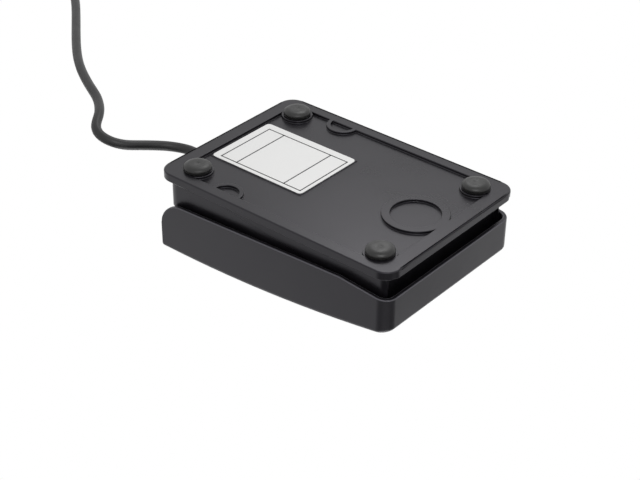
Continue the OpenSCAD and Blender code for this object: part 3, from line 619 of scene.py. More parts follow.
def softened(
    node: str,
    name: str,
    finish: Finish,
    edge_mm: float,
    turn_deg: float = 35.0,
    reshape: Callable[[Points], Points] | None = None,
    edge_highlight: Finish | None = None,
) -> bpy.types.Object:
    """Copies a moulded part of the frame and breaks its sharp edges.

    The copy's corners are merged and its flat faces joined, and then each edge
    that turns more than a limit gets a round of two steps.

    Args:
        node: name of the part.
        name: name of the new piece.
        finish: what it is made of.
        edge_mm: width of the round.
        turn_deg: least turn of an edge that gets a round.
        reshape: gives the copy's points their new places, in millimetres.
        edge_highlight: finish of the rounds, where it isn't the piece's own; a paler one paints a
            highlight along the edges.

    Returns:
        The new object.
    """
    mesh = bpy.data.objects[node].data.copy()
    mesh.name = name
    if reshape is not None:
        places = np.empty(3 * len(mesh.vertices))
        mesh.vertices.foreach_get("co", places)
        mesh.vertices.foreach_set("co", (reshape(places.reshape(-1, 3) / MM) * MM).ravel())
    work = bmesh.new()
    work.from_mesh(mesh)
    bmesh.ops.remove_doubles(work, verts=work.verts, dist=MERGE_DISTANCE)
    bmesh.ops.dissolve_limit(work, angle_limit=FLAT_ANGLE, verts=work.verts, edges=work.edges)
    work.to_mesh(mesh)
    work.free()
    mesh.shade_smooth()
    mesh.set_sharp_from_angle(angle=float(np.radians(turn_deg)))
    mesh.materials.clear()
    mesh.materials.append(finish.build())
    made = add_object(name, mesh)
    bevel = made.modifiers.new("edge_round", "BEVEL")
    bevel.width = edge_mm * MM
    bevel.segments = EDGE_STEPS
    bevel.limit_method = "ANGLE"
    bevel.angle_limit = float(np.radians(turn_deg))
    bevel.use_clamp_overlap = False
    bevel.harden_normals = True
    # A paler finish on the rounds paints a highlight along the edges.
    if edge_highlight is not None:
        mesh.materials.append(edge_highlight.build())
        bevel.material = 1
    weigh = made.modifiers.new("flat_faces_shade_flat", "WEIGHTED_NORMAL")
    weigh.keep_sharp = True
    weigh.weight = FLAT_FACE_WEIGHT
    LOG.info("%s: copied from %s with %.2f mm rounds", name, node, edge_mm)
    return made


def dress(node: str, finish: Finish) -> None:
    """Gives a part of the frame its finish.

    Args:
        node: name of the part.
        finish: what it is made of.
    """
    part = bpy.data.objects[node]
    if not part.material_slots:
        part.data.materials.append(None)
    for slot in part.material_slots:
        slot.material = finish.build()
    LOG.info("%s dressed in %s", node, finish.name)


# ------------------------------------------------------------- sub-assemblies
@dataclass(frozen=True)
class Lamp:
    """Square soft lamp that faces the pedal.

    Attributes:
        name: the lamp's name.
        place: where it stands.
        side: its size.
        watts: its power.
    """

    name: str
    place: Vec3
    side: float
    watts: float

    def build(self, aim: Vec3) -> None:
        """Makes the lamp.

        Args:
            aim: the point that it faces.
        """
        data = bpy.data.lights.new(self.name, "AREA")
        data.shape, data.size, data.energy = "SQUARE", self.side * MM, self.watts
        made = add_object(self.name, data)
        at = Vector(self.place) * MM
        turn = (Vector(aim) * MM - at).to_track_quat("-Z", "Y")
        made.matrix_world = Matrix.Translation(at) @ turn.to_matrix().to_4x4()


@dataclass
class Studio:
    """Camera, lamps, floor, card and world.

    Attributes:
        place: where the camera stands.
        right: the camera's right hand direction.
        down: the camera's downward direction.
        focal_px: focal length in pixels of the picture.
        picture_px: width of the picture in pixels.
        sensor: width of the camera's sensor.
        clip: nearest and farthest distance that the camera sees, in metres.
        lamps: the lamps.
        aim: the point that they face.
        floor_r: radius of the floor.
        floor_sides: number of its corners.
        floor_hex: its colour.
        floor_fade: where it starts to turn white and where it is white.
        floor_shade: how near a thing has to be for the floor's painted contact shade to darken it.
        card_r: radius of the bent grey card round the pedal.
        card_deg: its two ends, as directions seen from above.
        card_fade: where it starts to thin out and is gone, as shares of its half.
        card_z: heights of its lower and upper edge.
        card_steps: number of its faces.
        card_hex: its colour.
        world_light: strength of the world's light on the object.
    """

    place: Vec3 = (351.974, -283.458, -266.373)
    right: Vec3 = (-0.640934, -0.767529, -0.010116)
    down: Vec3 = (0.412915, -0.355858, 0.838371)
    focal_px: float = 1556.325
    picture_px: float = 640.0
    sensor: float = 36.0
    clip: tuple[float, float] = (0.02, 20.0)
    lamps: tuple[Lamp, ...] = (
        Lamp("lamp_under_back", (-177.0, 102.0, -240.0), 112.0, 0.16),
        Lamp("lamp_under_front", (165.0, -181.0, -308.0), 180.0, 0.5),
        Lamp("lamp_over_front", (170.0, -260.0, 900.0), 600.0, 3.0),
        Lamp("lamp_over_back", (-420.0, 380.0, 700.0), 600.0, 1.8),
    )
    aim: Vec3 = (0.0, 0.0, 12.0)
    floor_r: float = 2600.0
    floor_sides: int = 96
    floor_hex: str = "f4f4f3"
    floor_fade: tuple[float, float] = (250.0, 1200.0)
    floor_shade: float = 20.0
    card_r: float = 760.0
    card_deg: tuple[float, float] = (-150.0, 34.0)
    card_fade: tuple[float, float] = (0.62, 1.0)
    card_z: tuple[float, float] = (170.0, 860.0)
    card_steps: int = 24
    card_hex: str = "4c4c4f"
    world_light: float = 0.45

    def camera(self) -> None:
        """Makes the camera, which looks up at the underside of the pedal."""
        data = bpy.data.cameras.new("camera")
        data.sensor_width = self.sensor
        data.lens = self.focal_px * self.sensor / self.picture_px
        data.clip_start, data.clip_end = self.clip
        made = add_object("camera", data)
        right, down = Vector(self.right).normalized(), Vector(self.down).normalized()
        back = right.cross(-down).normalized()
        turn = Matrix((right, -down, back)).transposed().to_4x4()
        made.matrix_world = Matrix.Translation(Vector(self.place) * MM) @ turn
        bpy.context.scene.camera = made

    def floor(self) -> None:
        """Makes the pale floor, which only the camera sees and only from above.

        Its colour runs out to plain white towards its rim, and an ambient occlusion node darkens
        it close under whatever stands on it: painted contact shade, on top of the lamps' shadows.
        """
        a = np.linspace(0.0, 2 * np.pi, self.floor_sides, endpoint=False)
        rim = np.stack([np.cos(a), np.sin(a), 0 * a], axis=1) * self.floor_r * MM
        mesh = bpy.data.meshes.new("floor")
        mesh.from_pydata(rim.tolist(), [], [list(range(self.floor_sides))])
        made = add_object("floor", mesh)
        material, tree = blank_material("pale_floor")
        place = add_node(tree, "ShaderNodeTexCoord").outputs["Object"]
        reach = add_node(tree, "ShaderNodeVectorMath", {"operation": "LENGTH"}, {0: place})
        start, end = np.array(self.floor_fade) * MM
        fade = add_node(
            tree,
            "ShaderNodeMapRange",
            {"interpolation_type": "SMOOTHSTEP"},
            {"Value": reach.outputs["Value"], "From Min": float(start), "From Max": float(end)},
        )
        # Painted contact shade: ambient occlusion darkens the floor's colour close under things.
        shade = add_node(
            tree,
            "ShaderNodeAmbientOcclusion",
            None,
            {"Color": linear(self.floor_hex), "Distance": self.floor_shade * MM},
        )
        matt = add_node(tree, "ShaderNodeBsdfDiffuse", None, {"Color": shade.outputs["Color"]})
        white = add_node(tree, "ShaderNodeEmission", None, {"Color": WHITE, "Strength": 1.0})
        seen = add_node(
            tree,
            "ShaderNodeMixShader",
            None,
            {0: fade.outputs["Result"], 1: matt.outputs[0], 2: white.outputs[0]},
        )
        back = add_node(tree, "ShaderNodeNewGeometry").outputs["Backfacing"]
        front = add_node(tree, "ShaderNodeMath", {"operation": "SUBTRACT"}, {0: 1.0, 1: back})
        camera_ray = add_node(tree, "ShaderNodeLightPath").outputs["Is Camera Ray"]
        shown = add_node(
            tree, "ShaderNodeMath", {"operation": "MULTIPLY"}, {0: camera_ray, 1: front.outputs[0]}
        )
        clear = add_node(tree, "ShaderNodeBsdfTransparent")
        out = add_node(
            tree,
            "ShaderNodeMixShader",
            None,
            {0: shown.outputs[0], 1: clear.outputs[0], 2: seen.outputs[0]},
        )
        add_node(tree, "ShaderNodeOutputMaterial", None, {"Surface": out.outputs[0]})
        mesh.materials.append(material)

    def card(self) -> None:
        """Makes a bent grey card that shows only as a soft dark reflection.

        Its points lie at (r cos a, r sin a) between its two ends, and it thins
        out towards them.
        """
        n = self.card_steps
        a = np.radians(np.linspace(*self.card_deg, n + 1))
        arch = np.stack([self.card_r * np.cos(a), self.card_r * np.sin(a)], axis=1)
        rows = [np.column_stack([arch, np.full(n + 1, z)]) for z in self.card_z]
        faces = [[i, i + 1, i + n + 2, i + n + 1] for i in range(n)]
        mesh = bpy.data.meshes.new("card")
        mesh.from_pydata((np.vstack(rows) * MM).tolist(), [], faces)
        made = add_object("card", mesh)
        material, tree = blank_material("grey_card")
        grey = add_node(
            tree, "ShaderNodeEmission", None, {"Color": linear(self.card_hex), "Strength": 1.0}
        )
        place = add_node(tree, "ShaderNodeTexCoord").outputs["Object"]
        xyz = add_node(tree, "ShaderNodeSeparateXYZ", None, {0: place}).outputs
        turn = add_node(
            tree, "ShaderNodeMath", {"operation": "ARCTAN2"}, {0: xyz["Y"], 1: xyz["X"]}
        )
        low, high = np.radians(self.card_deg).tolist()
        middle, half = (low + high) / 2, (high - low) / 2
        off = add_node(
            tree, "ShaderNodeMath", {"operation": "SUBTRACT"}, {0: turn.outputs[0], 1: middle}
        )
        away = add_node(tree, "ShaderNodeMath", {"operation": "ABSOLUTE"}, {0: off.outputs[0]})
        start, end = self.card_fade
        thin = add_node(
            tree,
            "ShaderNodeMapRange",
            {"interpolation_type": "SMOOTHSTEP"},
            {"Value": away.outputs[0], "From Min": start * half, "From Max": end * half},
        )
        clear = add_node(tree, "ShaderNodeBsdfTransparent")
        both = add_node(
            tree,
            "ShaderNodeMixShader",
            None,
            {0: thin.outputs["Result"], 1: grey.outputs[0], 2: clear.outputs[0]},
        )
        add_node(tree, "ShaderNodeOutputMaterial", None, {"Surface": both.outputs[0]})
        mesh.materials.append(material)
        made.visible_camera = made.visible_diffuse = False
        made.visible_shadow = made.visible_transmission = False

    def world(self) -> None:
        """Makes a world that the camera and gloss see white, and that lights the rest plainly."""
        made = bpy.data.worlds.new("studio")
        bpy.context.scene.world = made
        made.use_nodes = True
        tree = made.node_tree
        tree.nodes.clear()
        ray = add_node(tree, "ShaderNodeLightPath").outputs
        seen = ray["Is Camera Ray"]
        for kind in ("Is Glossy Ray", "Is Transmission Ray"):
            either = add_node(
                tree, "ShaderNodeMath", {"operation": "MAXIMUM"}, {0: seen, 1: ray[kind]}
            )
            seen = either.outputs[0]
        strength = add_node(
            tree,
            "ShaderNodeMapRange",
            None,
            {"Value": seen, "To Min": self.world_light, "To Max": 1.0},
        )
        sky = add_node(
            tree,
            "ShaderNodeBackground",
            None,
            {"Color": WHITE, "Strength": strength.outputs[0]},
        )
        add_node(tree, "ShaderNodeOutputWorld", None, {"Surface": sky.outputs[0]})

    def build(self) -> None:
        """Sets up the camera, the world, the floor, the card and the lamps."""
        bpy.context.scene.view_settings.view_transform = "Standard"
        self.camera()
        self.world()
        self.floor()
        self.card()
        for lamp in self.lamps:
            lamp.build(self.aim)


@dataclass
class Housing:
    """Flanged base of the pedal, with its feet and bumpers.

    Attributes:
        edge_round: width of the rounds along its edges.
        plate_top: height of the plate's top, where the walls begin.
        wall: x of the tub's side walls and y of its rear wall, on their outer faces.
        wall_r: radius of the tub's corners.
        wall_trim: how far those faces come out in x and in y.
        corner_from: x and y past which a point of the walls is on a corner's round.
        near: how near to a face a point is on it.
        foot_x, foot_y: distance of the feet from the middle.
        foot_r, foot_h: radius and height of a foot's head.
        edge_h: height of the head's straight edge.
        flat_r: radius of the flat that a foot stands on.
        dimple: radius and height along the dimple in the flat.
        dome_points: number of points along the dome between flat and edge.
        back_edge: width of the bevel behind the head.
        back_gap: how far the head's back stands off the plate.
        neck_r, neck_h: radius and length of its neck.
        barb: how far its barb is wider than the neck.
        barb_edge: height of the barb's straight edge.
        barb_h: height of the barb.
        tip: how far its tip is narrower than the neck.
        foot_sides: number of sides of a foot.
        bumper_x, bumper_y: place of the bumpers.
        bumper_r, bumper_h, bumper_z: radius, height and foot of a bumper.
        bumper_low, bumper_high: bevel at its foot and round at its top.
        pole_r: radius of the flat in the middle of its top.
        stem_r, stem_h: radius and length of its stem.
        bumper_sides: number of sides of a bumper.
        bumper_points: number of points along the round at its top.
    """

    edge_round: float = 0.22
    plate_top: float = 5.4
    wall: tuple[float, float] = (32.6, 46.8)
    wall_r: float = 2.8
    wall_trim: tuple[float, float] = (-0.9, 0.8)
    corner_from: tuple[float, float] = (30.7, 43.0)
    near: float = 0.05
    foot_x: float = 26.0
    foot_y: float = 39.4
    foot_r: float = 4.9
    foot_h: float = 2.4
    edge_h: float = 1.0
    flat_r: float = 2.3
    dimple: tuple[tuple[float, float], ...] = (
        (0.02, 0.16), (0.3, 0.15), (0.6, 0.1), (0.9, 0.04), (1.2, 0.01), (1.6, 0.0),
    )
    dome_points: int = 13
    back_edge: float = 0.2
    back_gap: float = 0.01
    neck_r: float = 2.45
    neck_h: float = 3.1
    barb: float = 0.3
    barb_edge: float = 0.2
    barb_h: float = 2.6
    tip: float = 0.7
    foot_sides: int = 72
    bumper_x: float = 19.0
    bumper_y: float = 29.0
    bumper_r: float = 3.0
    bumper_h: float = 2.5
    bumper_z: float = 13.4
    bumper_low: float = 0.2
    bumper_high: float = 0.5
    pole_r: float = 0.2
    stem_r: float = 1.25
    stem_h: float = 2.2
    bumper_sides: int = 40
    bumper_points: int = 5

    def trimmed_walls(self, points: Points) -> Points:
        """Trims the tub's side walls in and its rear wall out to where their faces show.

        From the middle of a corner's round outwards, x and y stretch evenly
        so that the outer faces reach their new places.

        Args:
            points: points of the housing.

        Returns:
            The points, with those of the walls' outer faces moved.
        """
        x, y, near = np.abs(points[:, 0]), points[:, 1], self.near
        start = np.array(self.wall) - self.wall_r
        stretch = 1 + np.array(self.wall_trim) / self.wall_r
        above = points[:, 2] > self.plate_top - near
        wall = above & (x < self.wall[0] + near) & (y < self.wall[1] + near)
        on_side = (x > self.wall[0] - near) | (np.abs(y) > self.corner_from[1])
        on_rear = (y > self.wall[1] - near) | (x > self.corner_from[0])
        side = wall & (x > start[0]) & on_side
        rear = wall & (y > start[1]) & on_rear
        made = points.copy()
        made[side, 0] = np.sign(points[side, 0]) * (start[0] + (x[side] - start[0]) * stretch[0])
        made[rear, 1] = start[1] + (y[rear] - start[1]) * stretch[1]
        return made

    def foot_profile(self) -> list[tuple[float, float]]:
        """Radius and height along a foot: dimple, flat, dome, edge, neck and barb.

        The dome is a quarter of an ellipse, flat where it leaves the flat and
        upright where it meets the edge.

        Returns:
            The points as pairs.
        """
        a = np.radians(np.linspace(0.0, 90.0, self.dome_points))
        r = self.flat_r + (self.foot_r - self.flat_r) * np.sin(a)
        z = (self.foot_h - self.edge_h) * (1 - np.cos(a))
        back, top = self.foot_h - self.back_gap, self.foot_h + self.neck_h
        return [
            *self.dimple,
            *zip(r.tolist(), z.tolist()),
            (self.foot_r, self.foot_h - self.back_edge),
            (self.foot_r - self.back_edge, back),
            (self.neck_r, back),
            (self.neck_r, top),
            (self.neck_r + self.barb, top),
            (self.neck_r + self.barb, top + self.barb_edge),
            (self.neck_r - self.tip, top + self.barb_h),
        ]

    def feet(self) -> None:
        """Builds the four rubber feet."""
        points, faces = revolved(self.foot_profile(), self.foot_sides)
        for row, sy in (("front", -1), ("rear", 1)):
            for hand, sx in (("left", -1), ("right", 1)):
                at = np.array([sx * self.foot_x, sy * self.foot_y, 0.0])
                made = piece(f"foot_{row}_{hand}", points + at, faces, RUBBER, ROUND_DEG)
                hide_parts(f"rubber_foot_{row}_{hand}")
                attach(made, "base")

    def bumpers(self) -> None:
        """Builds the two rubber bumpers that end the travel."""
        r, z, top = self.bumper_r, self.bumper_z, self.bumper_z + self.bumper_h
        low, high = self.bumper_low, self.bumper_high
        profile = [
            (self.stem_r, z - self.stem_h),
            (self.stem_r, z),
            (r - low, z),
            (r, z + low),
            *arc((r - high, top - high), high, 0, 90, self.bumper_points),
            (self.pole_r, top),
        ]
        points, faces = revolved(profile, self.bumper_sides)
        both = np.vstack([points + (hand * self.bumper_x, self.bumper_y, 0.0) for hand in (1, -1)])
        faces += [[i + len(points) for i in face] for face in faces]
        made = piece("bumper_pads", both, faces, RUBBER)
        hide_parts("stop_bumpers")
        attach(made, "base")

    def build(self) -> None:
        """Builds the housing's pieces."""
        made = softened(
            "base_housing",
            "housing_shell",
            BLACK_ABS,
            self.edge_round,
            reshape=self.trimmed_walls,
        )
        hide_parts("base_housing")
        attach(made, "base")
        self.feet()
        self.bumpers()


@dataclass
class Label:
    """White film label with a thin printed frame and two dividing lines.

    Attributes:
        centre: middle of the label.
        width, length: its size.
        face_z: height of its printed face.
        thick: thickness of the film.
        corner: radius of its corners.
        bevel: width of the bevel along its edge.
        frame: low x, low y, high x and high y of the printed frame.
        dividers: y of the lines across the frame.
        line: width of a line.
        ink: how far a line stands off the face and reaches into it.
    """

    centre: tuple[float, float] = (0.25, 22.95)
    width: float = 29.8
    length: float = 40.3
    face_z: float = 2.85
    thick: float = 0.15
    corner: float = 1.5
    bevel: float = 0.04
    frame: tuple[float, float, float, float] = (-11.5, 4.3, 13.5, 40.0)
    dividers: tuple[float, ...] = (11.6, 33.0)
    line: float = 0.5
    ink: tuple[float, float] = (0.01, 0.02)

    def bars(self) -> Points:
        """Low and high corner of each printed line.

        Returns:
            Array of (lines, 2, 2).
        """
        x0, y0, x1, y1 = self.frame
        w = self.line / 2
        upright = [[[x - w, y0 - w], [x + w, y1 + w]] for x in (x0, x1)]
        across = [[[x0 - w, y - w], [x1 + w, y + w]] for y in (y0, y1, *self.dividers)]
        return np.array(upright + across)

    def build(self) -> None:
        """Builds the film and its lines."""
        z, less = self.face_z, 2 * self.bevel
        loop = rounded_loop(self.width, self.length, self.corner) + self.centre
        inner = rounded_loop(self.width - less, self.length - less, self.corner - self.bevel)
        levels = ((inner + self.centre, z), (loop, z + self.bevel), (loop, z + self.thick))
        rings = np.stack([np.column_stack([xy, np.full(len(xy), h)]) for xy, h in levels])
        made = piece("label_film", *loft(rings), LABEL_FILM)
        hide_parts("label")
        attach(made, "base")
        bars = self.bars()
        low = np.column_stack([bars[:, 0], np.full(len(bars), z - self.ink[0])])
        high = np.column_stack([bars[:, 1], np.full(len(bars), z + self.ink[1])])
        points = low[:, None] + (high - low)[:, None] * BOX_CORNERS
        faces = BOX_FACES + len(BOX_CORNERS) * np.arange(len(bars))[:, None, None]
        faces = faces.reshape(-1, 4).tolist()
        lines = piece("label_lines", points.reshape(-1, 3), faces, LABEL_INK)
        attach(lines, "base")


@dataclass
class Tread:
    """Rocking tread with its skirts, and the spring that lifts it.

    Attributes:
        edge_round: width of the rounds along its edges.
        hinge: y and z of the hinge pin's middle.
        pin_h: height of that pin in the measure of the rim's heights.
        travel_deg: how far the tread stands pitched up.
        rim: place along the pressed tread, height and trim of the skirts' rim
            where its line bends. The last two are the ends of its rear round.
        skirt_from: x and place along past which a point is on a skirt.
        near: how near to the rim's line a point is on it.
        spring_r: mean radius of the return spring.
        spring_y: its place.
        wire_r: radius of its wire.
        turns: number of turns.
        turn_steps: number of rings in a turn.
        wire_sides: number of sides of the wire.
        low, high: heights of the wire's middle at its two ends.
        end_share: share of the height that an end turn climbs.
        keep: share of its height that the spring keeps when the tread is down; not used.
    """

    edge_round: float = 0.32
    hinge: tuple[float, float] = (-22.0, 15.4)
    pin_h: float = 13.0
    travel_deg: float = 4.0
    rim: tuple[Vec3, ...] = (
        (-49.3, 12.0, 0.9),
        (-30.0, 9.186, 0.6),
        (-16.0, 7.8, 1.55),
        (40.05, 7.8, 0.25),
        (50.45, 18.2, 0.0),
    )
    skirt_from: tuple[float, float] = (32.9, -43.0)
    near: float = 0.06
    spring_r: float = 4.3
    spring_y: float = 31.0
    wire_r: float = 0.5
    turns: int = 7
    turn_steps: int = 48
    wire_sides: int = 12
    low: float = 7.45
    high: float = 23.85
    end_share: float = 1.5 / 16.4
    keep: float = 0.78

    def trimmed_rim(self, points: Points) -> Points:
        """Trims the skirts' rim to the line that it has on the released tread.

        A point's place on the pressed tread is y cos t + z sin t along it and
        z cos t - y sin t over it, both taken from the hinge.

        Args:
            points: points of the tread.

        Returns:
            The points, with those of the rim raised by the trim at their place.
        """
        t = np.radians(self.travel_deg)
        y, z = points[:, 1] - self.hinge[0], points[:, 2] - self.hinge[1]
        along = self.hinge[0] + y * np.cos(t) + z * np.sin(t)
        over = self.pin_h + z * np.cos(t) - y * np.sin(t)
        at, height, trim = np.array(self.rim).T
        bend, radius = np.clip(along - at[-2], 0.0, None), at[-1] - at[-2]
        rounded = height[-2] + radius - np.sqrt(np.clip(radius**2 - bend**2, 0.0, None))
        line = np.where(bend > 0, rounded, np.interp(along, at, height))
        skirt = (np.abs(points[:, 0]) > self.skirt_from[0]) | (along < self.skirt_from[1])
        on_rim = (np.abs(over - line) < self.near) & skirt
        raised = np.where(on_rim, np.interp(along, at, trim), 0.0)
        return points + raised[:, None] * np.array([0.0, -np.sin(t), np.cos(t)])

    def spring(self) -> None:
        """Builds the return spring.

        The wire's middle runs round (r cos a, r sin a), and its height climbs
        evenly between an end turn that lies flat and another.
        """
        t = np.linspace(0.0, self.turns, self.turn_steps * self.turns + 1)
        bends = [0.0, 1.0, self.turns - 1.0, self.turns]
        share = np.interp(t, bends, [0.0, self.end_share, 1.0 - self.end_share, 1.0])
        a = 2 * np.pi * t
        x, y = self.spring_r * np.cos(a), self.spring_y + self.spring_r * np.sin(a)
        path = np.stack([x, y, self.low + (self.high - self.low) * share], axis=1)
        made = piece("lift_spring", *tube(path, self.wire_r, self.wire_sides), SPRING_WIRE)
        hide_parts("return_spring")
        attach(made, "base")
        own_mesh(made)

    def build(self) -> None:
        """Builds the tread and the spring under it."""
        made = softened(
            "pedal_cover",
            "tread_shell",
            TREAD_ABS,
            self.edge_round,
            reshape=self.trimmed_rim,
            # The paler finish on the tread's rounds is a painted highlight along its edges.
            edge_highlight=EDGE_HIGHLIGHT_ABS,
        )
        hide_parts("pedal_cover")
        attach(made, "tread")
        self.spring()


@dataclass
class Board:
    """Circuit board with its switch, small parts and four wires.

    Attributes:
        wire_r: radius of a wire's sleeve.
        wire_sides: number of its sides.
        wire_points: number of rings along it.
        start: x, y and z of the cable's cut end.
        finish_y, finish_z: where the wires meet their plug.
        plug_x: middle of that plug.
        pitch: distance between the wires at the plug.
        apart: how far a wire stands from the cable's middle, sideways and upwards.
        button_top: height of the switch's button.
        button_cap: how much of its length counts as its top.
        button_room: how far the top is lowered, so that the tread's post only meets it.
        button_edge: width of the rounds along its edges.
        finishes: what the board's parts are made of.
    """

    wire_r: float = 0.45
    wire_sides: int = 12
    wire_points: int = 25
    start: Vec3 = (7.6, 32.5, 11.2)
    finish_y: float = 19.1
    finish_z: float = 14.0
    plug_x: float = 8.0
    pitch: float = 2.0
    apart: float = 0.6
    button_top: float = 22.9
    button_cap: float = 1.0
    button_room: float = 0.06
    button_edge: float = 0.1
    finishes: Mapping[str, Finish] = field(
        default_factory=lambda: {
            "pcb": SOLDER_MASK,
            "pcb_screws": STEEL,
            "controller_chip": CHIP_EPOXY,
            "crystal": CAN_TIN,
            "capacitor": CAN_SLEEVE,
            "switch_body": SWITCH_PBT,
            "switch_terminals": BRASS,
            "board_header": NYLON,
            "wire_plug": NYLON,
            "hinge_pin": STEEL,
        }
    )

    def wires(self) -> None:
        """Builds the four wires.

        They leave the cable at the corners of a square, two on each side. A
        wire's share of the way is the smooth step 3 s^2 - 2 s^3 sideways and
        upwards while it runs evenly forward.
        """
        s = np.linspace(0.0, 1.0, self.wire_points)
        ease = s * s * (3 - 2 * s)
        y = self.start[1] + (self.finish_y - self.start[1]) * s
        points, faces, numbers = [], [], []
        count = 0
        middle = (len(WIRE_COLOURS) - 1) / 2
        for i in range(len(WIRE_COLOURS)):
            x0 = self.start[0] + (-self.apart if i < 2 else self.apart)
            z0 = self.start[2] + (-self.apart if i % 2 == 0 else self.apart)
            x1 = self.plug_x + (i - middle) * self.pitch
            path = np.stack([x0 + (x1 - x0) * ease, y, z0 + (self.finish_z - z0) * ease], axis=1)
            p, f = tube(path, self.wire_r, self.wire_sides, count)
            points.append(p)
            faces += f
            numbers += [i] * len(f)
            count += len(p)
        made = piece("lead_wire_set", np.vstack(points), faces, WIRE_COLOURS[0])
        for finish in WIRE_COLOURS[1:]:
            made.data.materials.append(finish.build())
        made.data.polygons.foreach_set("material_index", numbers)
        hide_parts("lead_wires")
        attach(made, "base")

    def lowered_top(self, points: Points) -> Points:
        """Lowers the button's top.

        Args:
            points: points of the button.

        Returns:
            The points, with those of its round top lowered.
        """
        top = points[:, 2] > self.button_top - self.button_cap
        return points - np.where(top, self.button_room, 0.0)[:, None] * np.array([0.0, 0.0, 1.0])

    def build(self) -> None:
        """Dresses the board's parts and builds the button and the wires."""
        for node, finish in self.finishes.items():
            dress(node, finish)
        button = softened(
            "switch_plunger",
            "switch_button",
            BUTTON_RED,
            self.button_edge,
            reshape=self.lowered_top,
        )
        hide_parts("switch_plunger")
        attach(button, "plunger")
        self.wires()


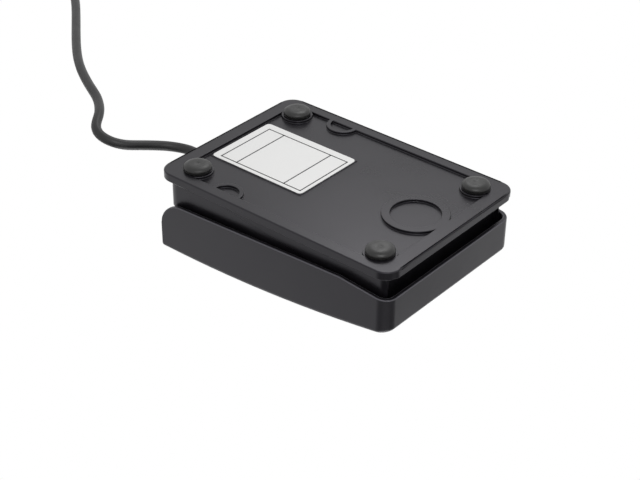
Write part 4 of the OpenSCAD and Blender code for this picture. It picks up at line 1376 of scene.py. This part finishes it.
@dataclass
class Cord:
    """Thin cord from the rear wall over the floor to its coil, and its plug.

    Attributes:
        diameter: diameter of the cord.
        sides: number of its sides.
        step: distance between its rings.
        outlet: where it leaves the strain relief.
        lie: height of its middle on the floor.
        coil_at: middle of the coil.
        coil_mid_r: radius of the middle of the coil's turns.
        pitch: distance between neighbouring turns.
        layers: number of layers in the coil.
        layer_turns: turns in each of them.
        climb: share of a turn in which the cord climbs to the next layer.
        turn_knots: number of knots in a turn.
        end_knots: how many of the coil's knots give way at either end to the
            knots that lead the cord in and out of it.
        lift: height of the lowest turn over the floor, inside its tie.
        start_deg: where the coil begins.
        plug: where the cord enters the plug.
        wall_y: outer face of the rear wall.
        wall_t: thickness of that wall.
        boot_neck: radius of the strain relief in the wall.
        boot_gap: how far it stands off the wall and the cord.
        boot_edge: width of the bevels on its flanges.
        boot_back: width and length of its flange inside the wall.
        boot_front: width and length of its flange outside the wall.
        boot_cone: how far its cone starts wider than the neck, and its
            thickness round the cord at the end.
        grooves: number of waves along the cone, each of which cuts one groove.
        groove_depth: their depth.
        groove_turn: angle by which the first one starts late, in radians.
        groove_power: below 1 it makes their sides steeper.
        groove_end: share of the cone that has grooves.
        cone_points: number of points along the cone.
        boot_sides: number of sides of the strain relief.
        grip_edge: width of the rounds along the edges of the plug's grip.
        finishes: what the other parts of the cord are made of.
    """

    diameter: float = 3.6
    sides: int = 16
    step: float = 1.25
    outlet: Vec3 = (7.6, 57.5, 11.2)
    lie: float = 1.8
    coil_at: tuple[float, float] = (3.0, 232.0)
    coil_mid_r: float = 20.4
    pitch: float = 4.1
    layers: int = 4
    layer_turns: int = 3
    climb: float = 0.5
    turn_knots: int = 24
    end_knots: int = 3
    lift: float = 0.7
    start_deg: float = 138.0
    plug: Vec3 = (17.0, 244.0, 20.9)
    wall_y: float = 47.6
    wall_t: float = 2.8
    boot_neck: float = 3.0
    boot_gap: float = 0.05
    boot_edge: float = 0.2
    boot_back: tuple[float, float] = (1.0, 1.5)
    boot_front: tuple[float, float] = (0.8, 1.6)
    boot_cone: tuple[float, float] = (0.1, 0.7)
    grooves: float = 4.5
    groove_depth: float = 0.32
    groove_turn: float = 0.6
    groove_power: float = 0.6
    groove_end: float = 0.93
    cone_points: int = 49
    boot_sides: int = 48
    grip_edge: float = 0.25
    finishes: Mapping[str, Finish] = field(
        default_factory=lambda: {
            "plug_shell": SHELL_STEEL,
            "plug_tongue": TONGUE,
            "plug_contacts": BRASS,
            "coil_tie": TIE_CLOTH,
            "cable_tail": CORD_PVC,
            "cable_clamp": BLACK_ABS,
            "clamp_screws": STEEL,
        }
    )

    def coil(self, t: Points) -> Points:
        """Points of the coil at t turns from its start.

        The radius folds in and out once in two layers, and the height climbs
        by a pitch in the half turn round each fold.

        Args:
            t: numbers of turns.

        Returns:
            Array of points.
        """
        layers = t / self.layer_turns
        fold = np.abs(layers % 2 - 1)
        inner = self.pitch * self.layer_turns
        r = self.coil_mid_r + inner / 2 - inner * (1 - fold)
        folds = np.arange(1, self.layers)[:, None] * self.layer_turns
        climbed = np.clip((t[None] - folds) / self.climb + 0.5, 0.0, 1.0).sum(axis=0)
        a = np.radians(self.start_deg) - 2 * np.pi * t
        x, y = self.coil_at[0] + r * np.cos(a), self.coil_at[1] + r * np.sin(a)
        return np.stack([x, y, self.lie + self.lift + self.pitch * climbed], axis=1)

    def knots(self) -> Points:
        """Points that the whole cord passes through, from the outlet to the plug.

        Returns:
            Array of points.
        """
        d, lie, n, cut = self.diameter, self.lie, self.turn_knots, self.end_knots
        start = np.radians(self.start_deg)
        way = np.array([np.sin(start), -np.cos(start), 0.0])
        turns = self.layers * self.layer_turns
        first, last = self.coil(np.array([0.0, float(turns)]))
        run = [
            self.outlet, (7.6, 61.1, 11.2), (8.9, 64.9, 11.0), (11.2, 68.3, 10.6),
            (14.4, 70.9, 9.9), (18.0, 72.9, 9.0), (21.6, 74.4, 8.0), (25.0, 76.1, 7.0),
            (27.6, 78.4, 5.9), (29.0, 81.5, 4.9), (29.1, 84.9, 3.9), (27.7, 87.7, 3.0),
            (25.2, 89.9, 2.3), (22.2, 92.1, 1.9), (19.2, 94.9, lie), (16.2, 98.4, lie),
            (13.2, 102.8, lie), (10.6, 107.6, lie), (8.0, 112.6, lie), (5.2, 117.6, lie),
            (1.8, 123.2, lie), (-2.8, 129.8, lie), (-8.4, 136.8, lie), (-15.8, 145.2, lie),
            (-24.8, 155.0, lie), (-34.2, 165.3, lie), (-41.0, 173.4, lie), (-45.6, 181.0, lie),
            (-47.6, 189.5, lie), (-47.2, 198.5, lie), (-44.9, 207.5, lie), (-41.3, 216.5, lie),
            (-36.6, 225.6, 1.9), (-31.0, 234.0, 2.1), (-24.6, 241.4, 2.4),
        ]
        over = np.array([
            (-12.9, 23.5, 14.9), (-7.8, 25.7, 15.4), (-2.4, 26.6, 16.4),
            (3.0, 26.2, 17.9), (8.0, 24.2, 19.4), (11.8, 20.8, 20.4),
        ])
        plug = np.array(self.plug)
        return np.vstack(
            [
                run, first - d * way, first, first + d * way / 2,
                self.coil(np.arange(cut, n * turns + 1 - cut) / n),
                last - d * way / 2, last, last + d * way,
                over + (*self.coil_at, 0.0), plug + (0.0, d, 0.0), plug,
            ]
        )

    def lay_cord(self) -> None:
        out, back = np.array([0.0, 1.0, 0.0]), np.array([0.0, -1.0, 0.0])
        path = smooth_curve(self.knots(), self.step, out, back)
        made = piece("cord_line", *tube(path, self.diameter / 2, self.sides), CORD_PVC)
        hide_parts("cord_run", "cord_coil", "cord_lead")
        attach(made, "base")

    def boot(self) -> None:
        """Builds the tapered strain relief, a profile turned round the cord's line.

        Its rings are grooves in a cone that narrows to the cord.
        """
        neck, wall, out = self.boot_neck, self.wall_t, self.outlet[1] - self.wall_y
        gap, edge, cord_r = self.boot_gap, self.boot_edge, self.diameter / 2
        back_r, back = neck + self.boot_back[0], -wall - self.boot_back[1]
        front_r, front = neck + self.boot_front[0], self.boot_front[1]
        s = np.linspace(front, out, self.cone_points)
        share = (s - front) / (out - front)
        wide, thin = neck + self.boot_cone[0], cord_r + self.boot_cone[1]
        wave = np.sin(2 * np.pi * self.grooves * share - self.groove_turn)
        groove = np.clip(wave, 0.0, 1.0) ** self.groove_power * (share < self.groove_end)
        cone = wide - (wide - thin) * share - self.groove_depth * groove
        profile = [
            (cord_r + gap, back),
            (back_r - edge, back),
            (back_r, back + edge),
            (back_r, -wall - gap),
            (neck, -wall - gap),
            (neck, gap),
            (front_r - edge, gap),
            (front_r, gap + edge),
            (front_r, front - gap - edge),
            (front_r - edge, front),
            *zip(cone.tolist(), s.tolist()),
            (cord_r + gap, out),
        ]
        points, _ = revolved(profile, self.boot_sides)
        faces = grid_faces(len(profile), self.boot_sides, close_rows=True)
        turned = np.stack([points[:, 0], points[:, 2], -points[:, 1]], axis=1)
        turned += (self.outlet[0], self.wall_y, self.outlet[2])
        made = piece("cord_boot", turned, faces, PLUG_PVC, ROUND_DEG)
        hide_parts("strain_relief")
        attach(made, "base")

    def build(self) -> None:
        """Builds the boot, the plug's grip and the cord, and dresses the rest."""
        self.boot()
        grip = softened("plug_body", "plug_grip", PLUG_PVC, self.grip_edge)
        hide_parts("plug_body")
        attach(grip, "base")
        for node, finish in self.finishes.items():
            dress(node, finish)
        self.lay_cord()


def main() -> None:
    """Builds and dresses each sub-assembly in order."""
    logging.basicConfig(level=logging.INFO, format="%(message)s")
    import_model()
    Studio().build()
    Cord().build()
    Housing().build()
    Label().build()
    Tread().build()
    Board().build()


if __name__ == "__main__":
    main()
